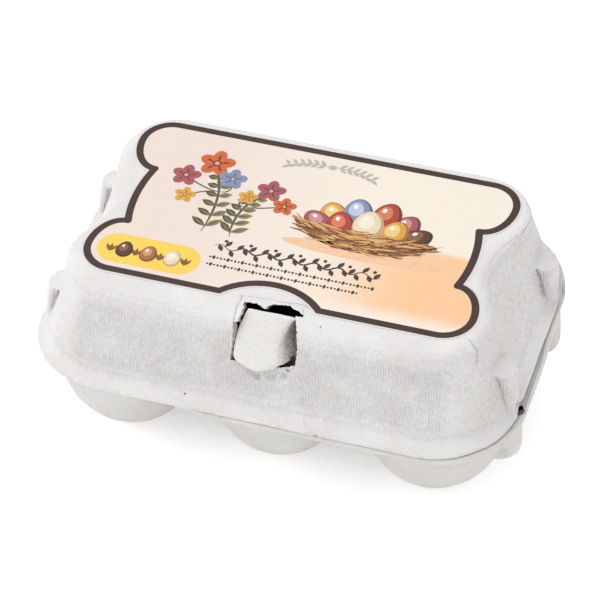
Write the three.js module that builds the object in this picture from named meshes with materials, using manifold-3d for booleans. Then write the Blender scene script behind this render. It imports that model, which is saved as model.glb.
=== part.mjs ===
// Shut moulded-pulp carton for six eggs, with a tuck latch and a shaped paper label.
// Millimetres, +Z up, +X along the carton, the latch side faces -Y.
// The origin is on the ground below the middle of the carton.

import * as THREE from "three";
import { mergeVertices } from "three/addons/utils/BufferGeometryUtils.js";
import Module from "manifold-3d";

const wasm = await Module();
wasm.setup();

// Driving dimensions of the whole carton
const HALF_DEPTH = 53;
const SEAM_Z = 34.4;
const TOP_Z = 64.5;
const LABEL_THICKNESS = 0.3;
const LID_TOP_Z = TOP_Z - LABEL_THICKNESS;

// Egg cups, two rows of three
const CUP_PITCH_X = 49;
const CUP_ROW_Y = 24.2;
const CUP_RADIUS_X = 23.2;
const CUP_RADIUS_Y = 22.2;
const CUP_DEPTH = 34.7;
const CUP_FULLNESS = 2.4;
const CUP_FOOT_RADIUS = 4.4;
const CUP_TOP_ANGLE = 0.04;

// Base rim, a rounded lip under the lid's rim, and the web that joins the cups.
// The rim sits a little towards +X, where it stands out past the lid, and is shorter at the rear.
const BASE_HALF_LENGTH = 76.7;
const BASE_SHIFT_X = 1;
const BASE_FRONT = 52.8;
const BASE_REAR = 51.8;
const BASE_REAR_NARROWING = 1;
const BASE_NARROWING_FROM_Y = -8;
const BASE_NARROWING_TO_Y = 22;
const BASE_CORNER_FRONT = 26.5;
const BASE_CORNER_REAR = 30;
const BASE_RIM_THICKNESS = 2.8;
const BASE_RIM_ROUNDING = 0.9;
const BASE_WEB_Z = 29.4;
const BASE_WEB_INSET = 6;
const HINGE_HALF_LENGTH = 44;
const HINGE_RADIUS = 1.4;

// Lid walls: rim, foot of the wall, top of the wall and edge of the flat top
const LID_RIM = {
  z: SEAM_Z, x: 75.9, front: 53, rear: 51.6,
  cornerFront: 25.7, cornerRear: 30, waist: 0,
};
const LID_LIP = {
  z: 35.7, x: 75.6, front: 52.7, rear: 51.3,
  cornerFront: 25.5, cornerRear: 29.8, waist: 0,
};
const LID_FOOT = {
  z: 38.6, x: 72, front: 48.2, rear: 48.4,
  cornerFront: 23, cornerRear: 27, waist: 0.7,
};
const LID_WALL = {
  z: 60.4, x: 66.4, front: 40.2, rear: 41.2,
  cornerFront: 19, cornerRear: 20, waist: 6.8,
};
const LID_FLAT = {
  z: LID_TOP_Z, x: 62.4, front: 34.6, rear: 37.4,
  cornerFront: 12, cornerRear: 12, waist: 6.9,
};
const WAIST_HALF_WIDTH = 24;

// Where the middle of the whole lies, seen from the label's middle
const MIDDLE_X = (BASE_HALF_LENGTH + BASE_SHIFT_X - LID_RIM.x) / 2;

// Denesting lugs at the four corners of the short ends
const LUG_FRONT_Y = -25.1;
const LUG_REAR_Y = 21.7;
const LUG_HALF_WIDTH = 4.9;
const LUG_NOSE_DEPTH = 4.5;
const LUG_ROOT_X = 60;
const LID_LUG_REACH = 75;
const LID_LUG_SHELF_Z = 50;
const LID_LUG_TOP_Z = 51.9;
const LID_LUG_TOP_REACH = 66.5;
const BASE_LUG_REACH = 75.2;
const BASE_LUG_SHOULDER_Z = 18.5;
const BASE_LUG_FOOT_Z = 15;
const LUG_EDGE_HEIGHT = 1.6;
const LUG_EDGE_INSET = 0.9;

// Latch slot in the lid's front edge
const SLOT = { left: -8, right: 12.4, back: -32.6, floor: 51.5 };

// Latch tab in the slot: its face leans back from the nose to the top edge
const TAB_TOP_Z = 63.7;
const TAB_NOSE_Z = 49;
const TAB_FACE_TOP = { y: -35.6, left: -4.3, right: 9.6 };
const TAB_FACE_FLOOR = { y: -44.6, left: -7, right: 8.4 };
const TAB_BACK_Y = -33.2;
const TAB_EDGE_THICKNESS = 0.9;
const TAB_SIDE_X = 11.7;
const TAB_SIDE_DEPTH = 5;
const TAB_EDGE_HEIGHT = 3.5;
const TAB_NOSE_STEP = 0.35;
const TAB_NOSE_NARROWING = 4.5;
const TAB_NOSE_LEAN = 1.1;

// Label outline, measured at the middle of its printed border
const LABEL = {
  centreY: 2.4,
  halfLength: 60,
  halfDepth: 33.03,
  lobeRadius: 9.1,
  cuspX: 51.8,
  cuspY: 12.1,
  bulgeX: 53.4,
  archHalfWidth: 15.4,
  archApexY: -26.3,
  margin: 1.8,
};

const PULP = new THREE.MeshStandardMaterial({ color: 0xd9d7d4, roughness: 0.95, metalness: 0 });
const TAB_PULP = new THREE.MeshStandardMaterial({ color: 0xe4e2df, roughness: 0.9, metalness: 0 });
const LABEL_PAPER = new THREE.MeshStandardMaterial({ color: 0xf3e6da, roughness: 0.55, metalness: 0 });

function mix(a, b, t) {
  return a + (b - a) * t;
}

// A closed solid through rings of equal point count, listed from the lowest up
function loft(rings) {
  const count = rings[0].length;
  const points = rings.flat();
  const faces = [];
  for (let level = 0; level + 1 < rings.length; level++) {
    for (let i = 0; i < count; i++) {
      const next = (i + 1) % count;
      const low = level * count;
      const high = low + count;
      faces.push(low + i, low + next, high + next, low + i, high + next, high + i);
    }
  }
  const bottomCentre = points.length;
  const topCentre = bottomCentre + 1;
  const topStart = (rings.length - 1) * count;
  points.push(ringCentre(rings[0]), ringCentre(rings[rings.length - 1]));
  for (let i = 0; i < count; i++) {
    const next = (i + 1) % count;
    faces.push(bottomCentre, next, i, topCentre, topStart + i, topStart + next);
  }
  const geometry = new THREE.BufferGeometry().setFromPoints(points);
  geometry.setIndex(faces);
  return geometry;
}

function ringCentre(ring) {
  const box = new THREE.Box3().setFromPoints(ring);
  return box.getCenter(new THREE.Vector3());
}

function toSolid(geometry) {
  const bare = geometry.clone();
  bare.deleteAttribute("normal");
  bare.deleteAttribute("uv");
  const merged = mergeVertices(bare, 1e-4);
  const vertProperties = new Float32Array(merged.attributes.position.array);
  const triVerts = new Uint32Array(merged.index.array);
  return new wasm.Manifold(new wasm.Mesh({ numProp: 3, vertProperties, triVerts }));
}

function toGeometry(solid) {
  const mesh = solid.getMesh();
  const geometry = new THREE.BufferGeometry();
  geometry.setAttribute("position", new THREE.BufferAttribute(new Float32Array(mesh.vertProperties), 3));
  geometry.setIndex(new THREE.BufferAttribute(new Uint32Array(mesh.triVerts), 1));
  geometry.computeVertexNormals();
  return geometry;
}

// How far the short ends are drawn in at a given y: a smooth valley round the middle
function waistShape(y) {
  const t = Math.min(1, Math.abs(y) / WAIST_HALF_WIDTH);
  return 0.5 * (1 + Math.cos(Math.PI * t));
}

// One level of the carton seen from above: a rounded rectangle with a waist in its short ends
function outline(level) {
  const cornerSteps = 9;
  const endSteps = 14;
  const points = [];
  const addCorner = (sideX, sideY, depth, radius, startAngle) => {
    for (let i = 0; i <= cornerSteps; i++) {
      const angle = startAngle + (i / cornerSteps) * (Math.PI / 2);
      const x = sideX * (level.x - radius) + radius * Math.cos(angle);
      const y = sideY * (depth - radius) + radius * Math.sin(angle);
      points.push([x, y]);
    }
  };
  const addEnd = (sideX, fromY, toY) => {
    for (let i = 1; i < endSteps; i++) {
      points.push([sideX * level.x, mix(fromY, toY, i / endSteps)]);
    }
  };
  const frontStraight = -(level.front - level.cornerFront);
  const rearStraight = level.rear - level.cornerRear;
  addCorner(1, -1, level.front, level.cornerFront, -Math.PI / 2);
  addEnd(1, frontStraight, rearStraight);
  addCorner(1, 1, level.rear, level.cornerRear, 0);
  addCorner(-1, 1, level.rear, level.cornerRear, Math.PI / 2);
  addEnd(-1, rearStraight, frontStraight);
  addCorner(-1, -1, level.front, level.cornerFront, Math.PI);
  return points.map(([x, y]) => {
    const drawnIn = Math.sign(x) * level.waist * waistShape(y);
    return new THREE.Vector3(x - drawnIn, y, level.z);
  });
}

// Levels between two others; across and up say how far along each is at step t
function blendLevels(low, high, steps, across, up) {
  const levels = [];
  for (let i = 1; i <= steps; i++) {
    const t = i / steps;
    const level = {};
    for (const key of Object.keys(low)) {
      level[key] = mix(low[key], high[key], key === "z" ? up(t) : across(t));
    }
    levels.push(level);
  }
  return levels;
}

const quarterSine = (t) => Math.sin((t * Math.PI) / 2);
const quarterRise = (t) => 1 - Math.cos((t * Math.PI) / 2);
const straight = (t) => t;

// A lug seen from above: flat sides and a rounded nose pointing along sideX
function lugRing(sideX, centreY, reach, z) {
  const noseSteps = 8;
  const noseDepth = Math.min(LUG_NOSE_DEPTH, reach - LUG_ROOT_X - 1);
  const ring = [];
  const push = (x, y) => ring.push(new THREE.Vector3(sideX * x, centreY + sideX * y, z));
  push(LUG_ROOT_X, -LUG_HALF_WIDTH);
  for (let i = 0; i <= noseSteps; i++) {
    const angle = mix(-Math.PI / 2, Math.PI / 2, i / noseSteps);
    push(reach - noseDepth + noseDepth * Math.cos(angle), LUG_HALF_WIDTH * Math.sin(angle));
  }
  push(LUG_ROOT_X, LUG_HALF_WIDTH);
  return ring;
}

function lidLug(sideX, centreY) {
  const rings = [
    lugRing(sideX, centreY, LID_LUG_REACH, LID_LIP.z),
    lugRing(sideX, centreY, LID_LUG_REACH, LID_LUG_SHELF_Z - LUG_EDGE_HEIGHT),
    lugRing(sideX, centreY, LID_LUG_REACH - LUG_EDGE_INSET, LID_LUG_SHELF_Z),
    lugRing(sideX, centreY, LID_LUG_TOP_REACH, LID_LUG_TOP_Z),
  ];
  return toSolid(loft(rings));
}

function baseLug(sideX, centreY) {
  const reach = BASE_LUG_REACH + sideX * BASE_SHIFT_X;
  const rings = [
    lugRing(sideX, centreY, reach - 3 * LUG_EDGE_INSET, BASE_LUG_FOOT_Z),
    lugRing(sideX, centreY, reach - LUG_EDGE_INSET, BASE_LUG_FOOT_Z + LUG_EDGE_HEIGHT),
    lugRing(sideX, centreY, reach, BASE_LUG_SHOULDER_Z),
    lugRing(sideX, centreY, reach, SEAM_Z - BASE_RIM_THICKNESS + BASE_RIM_ROUNDING),
  ];
  return toSolid(loft(rings));
}

function eachCorner(makeLug) {
  const lugs = [];
  for (const sideX of [-1, 1]) {
    for (const y of [LUG_FRONT_Y, LUG_REAR_Y]) {
      lugs.push(makeLug(sideX, y));
    }
  }
  return lugs;
}

function slotPocket() {
  const above = 10;
  const box = new THREE.BoxGeometry(SLOT.right - SLOT.left, 40, TOP_Z + above - SLOT.floor);
  box.translate((SLOT.left + SLOT.right) / 2, SLOT.back - 20, (TOP_Z + above + SLOT.floor) / 2);
  return toSolid(box);
}

function makeLid() {
  const levels = [
    LID_RIM,
    LID_LIP,
    ...blendLevels(LID_LIP, LID_FOOT, 4, quarterSine, quarterRise),
    ...blendLevels(LID_FOOT, LID_WALL, 3, straight, straight),
    ...blendLevels(LID_WALL, LID_FLAT, 6, quarterRise, quarterSine),
  ];
  let lid = toSolid(loft(levels.map(outline)));
  for (const lug of eachCorner(lidLug)) {
    lid = lid.add(lug);
  }
  lid = lid.subtract(slotPocket());
  return new THREE.Mesh(toGeometry(lid), PULP);
}

// The face of the tab at a height: where it is and how wide
function tabFace(z) {
  const t = (z - SLOT.floor) / (TAB_TOP_Z - SLOT.floor);
  return {
    y: mix(TAB_FACE_FLOOR.y, TAB_FACE_TOP.y, t),
    left: mix(TAB_FACE_FLOOR.left, TAB_FACE_TOP.left, t),
    right: mix(TAB_FACE_FLOOR.right, TAB_FACE_TOP.right, t),
  };
}

function tabRing(z) {
  const face = tabFace(z);
  const thinning = Math.min(1, (TAB_TOP_Z - z) / TAB_EDGE_HEIGHT);
  const back = mix(face.y + TAB_EDGE_THICKNESS, TAB_BACK_Y, thinning);
  const sideDepth = Math.min(TAB_SIDE_DEPTH, back - face.y - 0.3);
  const sideX = mix(face.right, TAB_SIDE_X, sideDepth / TAB_SIDE_DEPTH);
  const soften = 0.25 * sideDepth;
  const plan = [
    [face.left, back],
    [face.left, face.y + soften],
    [face.left + soften, face.y],
    [face.right - 2 * soften, face.y],
    [face.right, face.y + soften],
    [sideX, face.y + sideDepth],
    [sideX, back],
  ];
  return plan.map(([x, y]) => new THREE.Vector3(x, y, z));
}

function lidWallFrontY(z) {
  const t = (z - LID_FOOT.z) / (LID_WALL.z - LID_FOOT.z);
  return -mix(LID_FOOT.front, LID_WALL.front, t);
}

// The rounded nose hangs just in front of the lid's wall, below the slot
function tabNoseRing(z) {
  const face = tabFace(z);
  const drop = Math.max(0, (SLOT.floor - z) / (SLOT.floor - TAB_NOSE_Z));
  const narrowing = TAB_NOSE_NARROWING * drop * drop;
  const back = lidWallFrontY(z) - TAB_NOSE_STEP;
  const front = face.y + TAB_NOSE_LEAN * drop * drop - 0.2;
  const steps = 8;
  const ring = [
    new THREE.Vector3(face.right - narrowing, back, z),
    new THREE.Vector3(face.left + narrowing, back, z),
  ];
  for (let i = 0; i <= steps; i++) {
    const across = i / steps;
    const roundOff = Math.pow(Math.abs(2 * across - 1), 6) * 0.6;
    const x = mix(face.left + narrowing, face.right - narrowing, across);
    ring.push(new THREE.Vector3(x, Math.min(front + roundOff, back - 0.2), z));
  }
  return ring;
}

function makeTab() {
  const bodyHeights = [0, 0.3, 0.55, 0.75, 0.9, 1];
  const bodyRings = bodyHeights.map((t) => tabRing(mix(SLOT.floor, TAB_TOP_Z, t)));
  const noseHeights = [0, 0.25, 0.6, 1, 1.7];
  const noseRings = noseHeights.map((t) => tabNoseRing(mix(TAB_NOSE_Z, SLOT.floor, t)));
  const tab = toSolid(loft(bodyRings)).add(toSolid(loft(noseRings)));
  return new THREE.Mesh(toGeometry(tab), TAB_PULP);
}

// An egg cup from the inside of the base down to its flat foot
function cup(centreX, centreY) {
  const around = 36;
  const steps = 9;
  const footShare = CUP_FOOT_RADIUS / CUP_RADIUS_X;
  const footAngle = Math.acos(Math.pow(footShare, CUP_FULLNESS / 2));
  const rings = [];
  for (let i = 0; i <= steps; i++) {
    const angle = mix(footAngle, CUP_TOP_ANGLE, i / steps);
    const spread = Math.pow(Math.cos(angle), 2 / CUP_FULLNESS);
    const drop = Math.pow(Math.sin(angle), 2 / CUP_FULLNESS);
    const z = i === 0 ? 0 : SEAM_Z - CUP_DEPTH * drop;
    const ring = [];
    for (let k = 0; k < around; k++) {
      const turn = (k / around) * 2 * Math.PI;
      const x = centreX + CUP_RADIUS_X * spread * Math.cos(turn);
      const y = centreY + CUP_RADIUS_Y * spread * Math.sin(turn);
      ring.push(new THREE.Vector3(x, y, z));
    }
    rings.push(ring);
  }
  return toSolid(loft(rings));
}

// One level of the base rim, drawn in from its outer edge by an inset
function baseRing(inset, z) {
  const ring = outline({
    z,
    x: BASE_HALF_LENGTH - inset,
    front: BASE_FRONT - inset,
    rear: BASE_REAR - inset,
    cornerFront: BASE_CORNER_FRONT - inset,
    cornerRear: BASE_CORNER_REAR - inset,
    waist: 0,
  });
  for (const point of ring) {
    const t = THREE.MathUtils.smoothstep(point.y, BASE_NARROWING_FROM_Y, BASE_NARROWING_TO_Y);
    point.x *= 1 - (t * BASE_REAR_NARROWING) / BASE_HALF_LENGTH;
    point.x += BASE_SHIFT_X;
  }
  return ring;
}

function hingeFold() {
  const roll = new THREE.CylinderGeometry(HINGE_RADIUS, HINGE_RADIUS, 2 * HINGE_HALF_LENGTH, 16);
  roll.rotateZ(Math.PI / 2);
  roll.translate(0, HALF_DEPTH - HINGE_RADIUS, SEAM_Z - HINGE_RADIUS);
  return toSolid(roll);
}

function makeBase() {
  const rimBottom = SEAM_Z - BASE_RIM_THICKNESS;
  const rings = [
    baseRing(BASE_WEB_INSET, BASE_WEB_Z),
    baseRing(BASE_WEB_INSET / 2, BASE_WEB_Z + 0.7),
    baseRing(BASE_RIM_ROUNDING, rimBottom),
    baseRing(0, rimBottom + BASE_RIM_ROUNDING),
    baseRing(0, SEAM_Z - BASE_RIM_ROUNDING),
    baseRing(BASE_RIM_ROUNDING, SEAM_Z),
  ];
  let base = toSolid(loft(rings));
  for (const column of [-1, 0, 1]) {
    for (const row of [-1, 1]) {
      base = base.add(cup(column * CUP_PITCH_X, row * CUP_ROW_Y));
    }
  }
  for (const lug of eachCorner(baseLug)) {
    base = base.add(lug);
  }
  base = base.add(hingeFold());
  return new THREE.Mesh(toGeometry(base), PULP);
}

// The convex curve of the label's short end between its cusps: its x at a given y
function labelBulgeX(y, offset) {
  const rise = LABEL.bulgeX - LABEL.cuspX;
  const radius = (LABEL.cuspY * LABEL.cuspY + rise * rise) / (2 * rise);
  const centreX = LABEL.bulgeX - radius;
  return centreX + Math.sqrt((radius + offset) ** 2 - y * y);
}

// One quarter-end of the label: from the long edge round the lobe to the cusp
function labelLobe(offset) {
  const steps = 10;
  const centreX = LABEL.halfLength - LABEL.lobeRadius;
  const centreY = LABEL.halfDepth - LABEL.lobeRadius;
  const points = [];
  for (let i = 0; i <= steps; i++) {
    const angle = (Math.PI / 2) * (1 - i / steps);
    const radius = LABEL.lobeRadius + offset;
    points.push([centreX + radius * Math.cos(angle), centreY + radius * Math.sin(angle)]);
  }
  const reachX = LABEL.halfLength - LABEL.cuspX + offset;
  const reachY = centreY - LABEL.cuspY + offset;
  for (let i = 1; i <= steps; i++) {
    const angle = (Math.PI / 2) * (i / steps);
    const x = LABEL.cuspX + reachX * Math.cos(angle);
    const y = centreY - reachY * Math.sin(angle);
    if (x < labelBulgeX(y, offset)) {
      points.push([labelBulgeX(y, offset), y]);
      break;
    }
    points.push([x, y]);
  }
  return points;
}

function labelArch(offset) {
  const steps = 12;
  const edgeY = -LABEL.halfDepth;
  const sagitta = LABEL.archApexY - edgeY;
  const radius = (LABEL.archHalfWidth ** 2 + sagitta ** 2) / (2 * sagitta);
  const centreY = LABEL.archApexY - radius;
  const reach = Math.acos((edgeY - offset - centreY) / (radius - offset));
  const points = [];
  for (let i = 0; i <= steps; i++) {
    const angle = mix(-reach, reach, i / steps);
    points.push([(radius - offset) * Math.sin(angle), centreY + (radius - offset) * Math.cos(angle)]);
  }
  return points;
}

function labelOutline(offset) {
  const quarter = labelLobe(offset);
  const bulgeSteps = 6;
  const cuspY = quarter[quarter.length - 1][1];
  const rightEnd = [...quarter];
  for (let i = 1; i < bulgeSteps; i++) {
    const y = mix(cuspY, -cuspY, i / bulgeSteps);
    rightEnd.push([labelBulgeX(y, offset), y]);
  }
  rightEnd.push(...quarter.map(([x, y]) => [x, -y]).reverse());
  const leftEnd = rightEnd.map(([x, y]) => [-x, -y]);
  const arch = labelArch(offset).reverse();
  return [...rightEnd, ...arch, ...leftEnd].map(([x, y]) => new THREE.Vector2(x, y + LABEL.centreY));
}

function makeLabel() {
  const shape = new THREE.Shape(labelOutline(LABEL.margin));
  const geometry = new THREE.ExtrudeGeometry(shape, { depth: LABEL_THICKNESS, bevelEnabled: false });
  geometry.translate(0, 0, LID_TOP_Z);
  return new THREE.Mesh(geometry, LABEL_PAPER);
}

const carton = new THREE.Group();
const pieces = {
  base_tray: makeBase(),
  lid: makeLid(),
  latch_tab: makeTab(),
  label: makeLabel(),
};
for (const [name, mesh] of Object.entries(pieces)) {
  mesh.name = name;
  mesh.geometry.translate(-MIDDLE_X, 0, 0);
  carton.add(mesh);
}

export default carton;
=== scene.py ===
"""Looks of a shut moulded-pulp egg carton with a tuck latch and a shaped paper label."""

import math
import bmesh
import bpy
import numpy as np
from mathutils import Matrix, Vector
from mathutils.bvhtree import BVHTree


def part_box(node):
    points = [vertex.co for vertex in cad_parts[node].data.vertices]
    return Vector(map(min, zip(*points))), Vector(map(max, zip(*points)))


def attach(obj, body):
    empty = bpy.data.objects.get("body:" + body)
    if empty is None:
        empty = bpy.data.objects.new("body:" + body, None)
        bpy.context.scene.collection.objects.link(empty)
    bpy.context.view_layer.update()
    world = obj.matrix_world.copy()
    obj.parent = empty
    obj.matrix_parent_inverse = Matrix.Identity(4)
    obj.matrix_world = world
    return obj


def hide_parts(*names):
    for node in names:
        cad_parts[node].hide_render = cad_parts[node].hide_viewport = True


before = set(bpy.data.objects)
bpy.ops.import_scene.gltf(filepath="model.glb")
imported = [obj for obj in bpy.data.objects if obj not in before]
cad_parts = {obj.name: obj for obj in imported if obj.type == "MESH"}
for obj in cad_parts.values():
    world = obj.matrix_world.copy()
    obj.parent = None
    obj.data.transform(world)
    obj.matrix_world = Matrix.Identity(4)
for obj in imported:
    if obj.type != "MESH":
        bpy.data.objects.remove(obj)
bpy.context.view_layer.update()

# All sizes below are millimetres; meshes are made in metres
MM = 0.001


def middle_x_mm(node):
    low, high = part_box(node)
    return (low[0] + high[0]) / 2 / MM


# Shapes are laid out round the label's middle, which lies a little off the frame's origin
SHIFT = np.array((middle_x_mm("label"), 0, 0))


def box_mm(node):
    low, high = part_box(node)
    return np.array(low) / MM - SHIFT, np.array(high) / MM - SHIFT


LID_LOW, LID_HIGH = box_mm("lid")
BASE_LOW, BASE_HIGH = box_mm("base_tray")
LABEL_LOW, LABEL_HIGH = box_mm("label")

# Heights and outer sizes taken from the frame
SEAM_Z = LID_LOW[2]
LID_TOP_Z = LID_HIGH[2]
TOP_Z = LABEL_HIGH[2]
BASE_HALF_LENGTH = (BASE_HIGH[0] - BASE_LOW[0]) / 2
BASE_SHIFT_X = (BASE_HIGH[0] + BASE_LOW[0]) / 2
HALF_DEPTH = -LID_LOW[1]
LABEL_CENTRE_Y = (LABEL_LOW[1] + LABEL_HIGH[1]) / 2

# Lid walls: height, half length, front and rear depth, corner radii and waist of each level
LID_RIM = (SEAM_Z, 75.9, 53, 51.6, 25.7, 30, 0)
LID_LIP = (35.7, 75.6, 52.7, 51.3, 25.5, 29.8, 0)
LID_FOOT = (38.6, 72, 48.2, 48.4, 23, 27, 0.7)
LID_WALL = (60.4, 66.4, 40.2, 41.2, 19, 20, 6.8)
LID_FLAT = (LID_TOP_Z, 62.4, 34.6, 37.4, 12, 12, 6.9)
WAIST_HALF_WIDTH = 24
WALL_SLOPE = (LID_FOOT[2] - LID_WALL[2]) / (LID_WALL[0] - LID_FOOT[0])

# Denesting lugs on the short ends
LUG_ROWS_Y = (-25.1, 21.7)
LUG_PLACES = [(side, row_y) for side in (-1, 1) for row_y in LUG_ROWS_Y]
LUG_HALF_WIDTH = 4.9
LUG_NOSE_DEPTH = 4.5
LUG_ROOT_X = 60
LID_LUG_REACH = 75
LID_LUG_SHELF_Z = 50
LID_LUG_TOP_Z = 51.9
LID_LUG_TOP_REACH = 66.5
BASE_LUG_REACH = 75.2
BASE_LUG_SHOULDER_Z = 18.5
BASE_LUG_FOOT_Z = 15

# Egg cups of the base
CUP_PITCH_X = 49
CUP_ROW_Y = 24.2
CUP_RADIUS_X = 23.2
CUP_RADIUS_Y = 22.2
CUP_DEPTH = 34.7
CUP_FULLNESS = 2.4
CUP_FOOT_RADIUS = 4.4
BASE_FRONT = 52.8
BASE_REAR = 51.8
BASE_CORNER_FRONT = 26.5
BASE_CORNER_REAR = 30
BASE_REAR_NARROWING = 1
BASE_NARROWING_FROM_Y = -8
BASE_NARROWING_TO_Y = 22
BASE_RIM_THICKNESS = 2.8
BASE_WEB_Z = 29.4
HINGE_HALF_LENGTH = 44
HINGE_RADIUS = 1.4

# Torn edge of the latch slot: x, and the way up the 45 degree slant across the front shoulder
SLOT_EDGE = (
    (-8.7, 4.4), (7.5, 5.1), (9.8, 5.9), (11.8, 6.7), (11.9, 8.8), (12.0, 11.2), (11.8, 13.5),
    (11.4, 16.5), (10.6, 18.7), (9.6, 20.9), (10.6, 21.0), (11.8, 21.1), (11.3, 21.8), (10.2, 22.4),
    (9.0, 22.8), (7.9, 23.0), (7.3, 23.4), (6.3, 23.5), (4.0, 23.3), (1.7, 22.9), (0.5, 22.2),
    (0.1, 21.2), (-0.5, 21.4), (-1.5, 21.9), (-2.9, 22.3), (-4.4, 22.3), (-6.6, 22.2), (-6.8, 21.7),
    (-6.3, 20.2), (-6.3, 18.8), (-6.6, 17.2), (-6.9, 16.3), (-8.0, 15.8), (-8.2, 14.2), (-8.4, 11.9),
    (-8.5, 9.5), (-8.6, 6.4),
)
SLOT_TEAR = 0.16
SLOT_FIBRE = 0.35
SLOT_SLOPE = 1.1
SLANT_Y = -36.0
SHELL = 2.2

# The front shoulder seen along the slant: how far it stands out, where its crest is and how it falls
SHOULDER_REACH = 20.2
SHOULDER_CREST = 14.3
SHOULDER_FALL = 3.2
SHOULDER_HALF_WIDTH = 9.5

# Latch tab: the face leans back; its left and right edges at rising heights
TAB_TOP_Z = 63.7
TAB_FLOOR_Z = 51.9
TAB_TOP_Y = -35.5
TAB_SIDE_DEPTH = 7
TAB_SHEET = 1.0
TAB_LEAN = 0.752
TAB_SIDE_X = 12.9
TAB_LEFT = (
    (49.7, -0.5), (50.1, -3.2), (50.5, -4.9), (51.1, -6.7), (52, -7.4), (54, -7.6), (57, -7.5),
    (60, -6.9), (62.2, -5.8), (63.7, -5.0),
)
TAB_RIGHT = (
    (49.7, 2.5), (50, 4.1), (50.6, 6), (51.8, 7.3), (53.3, 6.8), (55, 6.4), (57, 6.4), (58.6, 6.7),
    (60, 7.1), (61.3, 7.6), (62.8, 8.4), (63.7, 9.3),
)

# Fineness of the moulded meshes
LID_VOXEL = 0.42
BASE_VOXEL = 0.55
TAB_VOXEL = 0.22


def mix(a, b, t):
    return a + (b - a) * t


def smooth(t):
    t = np.clip(t, 0, 1)
    return t * t * (3 - 2 * t)


def full_turn(steps):
    return [2 * math.pi * i / steps for i in range(steps)]


def lattice(ix, iy, iz, seed):
    """A repeatable number from -1 to 1 for each whole-numbered place."""
    mask = np.int64(0xFFFFFFFF)
    mixed = (ix * 374761393 + iy * 668265263 + iz * 2147483647 + seed * 974634777) & mask
    mixed = ((mixed ^ (mixed >> 13)) * 1274126177) & mask
    mixed = ((mixed ^ (mixed >> 16)) * 668265263) & mask
    return ((mixed ^ (mixed >> 15)) & 0xFFFF) / 32767.5 - 1


def noise(points, cell, seed):
    """Smooth noise from -1 to 1 with features about as large as cell."""
    cells = np.asarray(points, float) / cell
    whole = np.floor(cells).astype(np.int64)
    part = cells - whole
    part = part * part * (3 - 2 * part)
    total = np.zeros(len(cells))
    for dx in (0, 1):
        for dy in (0, 1):
            for dz in (0, 1):
                weight = np.ones(len(cells))
                for axis, step in enumerate((dx, dy, dz)):
                    weight = weight * (part[:, axis] if step else 1 - part[:, axis])
                corner = lattice(whole[:, 0] + dx, whole[:, 1] + dy, whole[:, 2] + dz, seed)
                total += weight * corner
    return total


def rough_noise(points, cell, seed, octaves):
    total = np.zeros(len(points))
    for octave in range(octaves):
        total += noise(points, cell / 2**octave, seed + octave) / 2**octave
    return total


# Mesh helpers


def new_object(name, points, faces):
    mesh = bpy.data.meshes.new(name)
    metres = (np.asarray(points, float) + SHIFT) * MM
    mesh.from_pydata(metres.tolist(), [], [list(face) for face in faces])
    mesh.update()
    thing = bpy.data.objects.new(name, mesh)
    bpy.context.scene.collection.objects.link(thing)
    return thing


def loft(rings):
    """Points and faces of a closed solid through rings of equal count, lowest first."""
    count = len(rings[0])
    points = [point for ring in rings for point in ring]
    faces = []
    for level in range(len(rings) - 1):
        low = level * count
        high = low + count
        for i in range(count):
            j = (i + 1) % count
            faces.append((low + i, low + j, high + j, high + i))
    faces.append(tuple(reversed(range(count))))
    top = (len(rings) - 1) * count
    faces.append(tuple(top + i for i in range(count)))
    return points, faces


def loft_object(name, rings):
    return new_object(name, *loft(rings))


def apply_modifiers(thing):
    graph = bpy.context.evaluated_depsgraph_get()
    made = bpy.data.meshes.new_from_object(thing.evaluated_get(graph))
    thing.modifiers.clear()
    old = thing.data
    thing.data = made
    bpy.data.meshes.remove(old)


def remove(thing):
    mesh = thing.data
    bpy.data.objects.remove(thing)
    bpy.data.meshes.remove(mesh)


def give_colours(thing, colours, number=0):
    """Gives a thing its materials, and all its faces the one with that number."""
    for colour in colours:
        thing.data.materials.append(colour)
    thing.data.polygons.foreach_set("material_index", [number] * len(thing.data.polygons))


def join(things, name):
    """One object from several; the others are removed."""
    points = []
    faces = []
    for thing in things:
        start = len(points)
        points += read_points(thing)[0].tolist()
        faces += [[start + i for i in face.vertices] for face in thing.data.polygons]
        remove(thing)
    return new_object(name, points, faces)


def cut(thing, cutter):
    modifier = thing.modifiers.new("cut", "BOOLEAN")
    modifier.operation = "DIFFERENCE"
    modifier.solver = "MANIFOLD"
    modifier.object = cutter
    apply_modifiers(thing)
    remove(cutter)


def mould(thing, voxel, smoothing):
    """Fuses overlapping solids into one skin with softly rounded edges, as pulp has."""
    remesh = thing.modifiers.new("fuse", "REMESH")
    remesh.mode = "VOXEL"
    remesh.voxel_size = voxel * MM
    apply_modifiers(thing)
    soften = thing.modifiers.new("soften", "SMOOTH")
    soften.factor = 0.5
    soften.iterations = smoothing
    apply_modifiers(thing)


def refine(thing, places):
    """Splits the edges near each place, given as a middle and a reach along x, y and z."""
    points, _ = read_points(thing)
    near = np.zeros(len(points), bool)
    for middle, reach in places:
        near |= np.all(np.abs(points - np.array(middle, float)) < np.array(reach, float), axis=1)
    work = bmesh.new()
    work.from_mesh(thing.data)
    edges = [edge for edge in work.edges if near[edge.verts[0].index] and near[edge.verts[1].index]]
    bmesh.ops.subdivide_edges(work, edges=edges, cuts=1, use_grid_fill=True)
    work.to_mesh(thing.data)
    work.free()


def read_points(thing):
    mesh = thing.data
    count = len(mesh.vertices)
    flat = np.empty(count * 3)
    mesh.vertices.foreach_get("co", flat)
    normals = np.empty(count * 3)
    mesh.vertex_normals.foreach_get("vector", normals)
    return flat.reshape(-1, 3) / MM - SHIFT, normals.reshape(-1, 3)


def write_points(thing, points):
    thing.data.vertices.foreach_set("co", ((points + SHIFT) * MM).ravel())
    thing.data.update()


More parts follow.
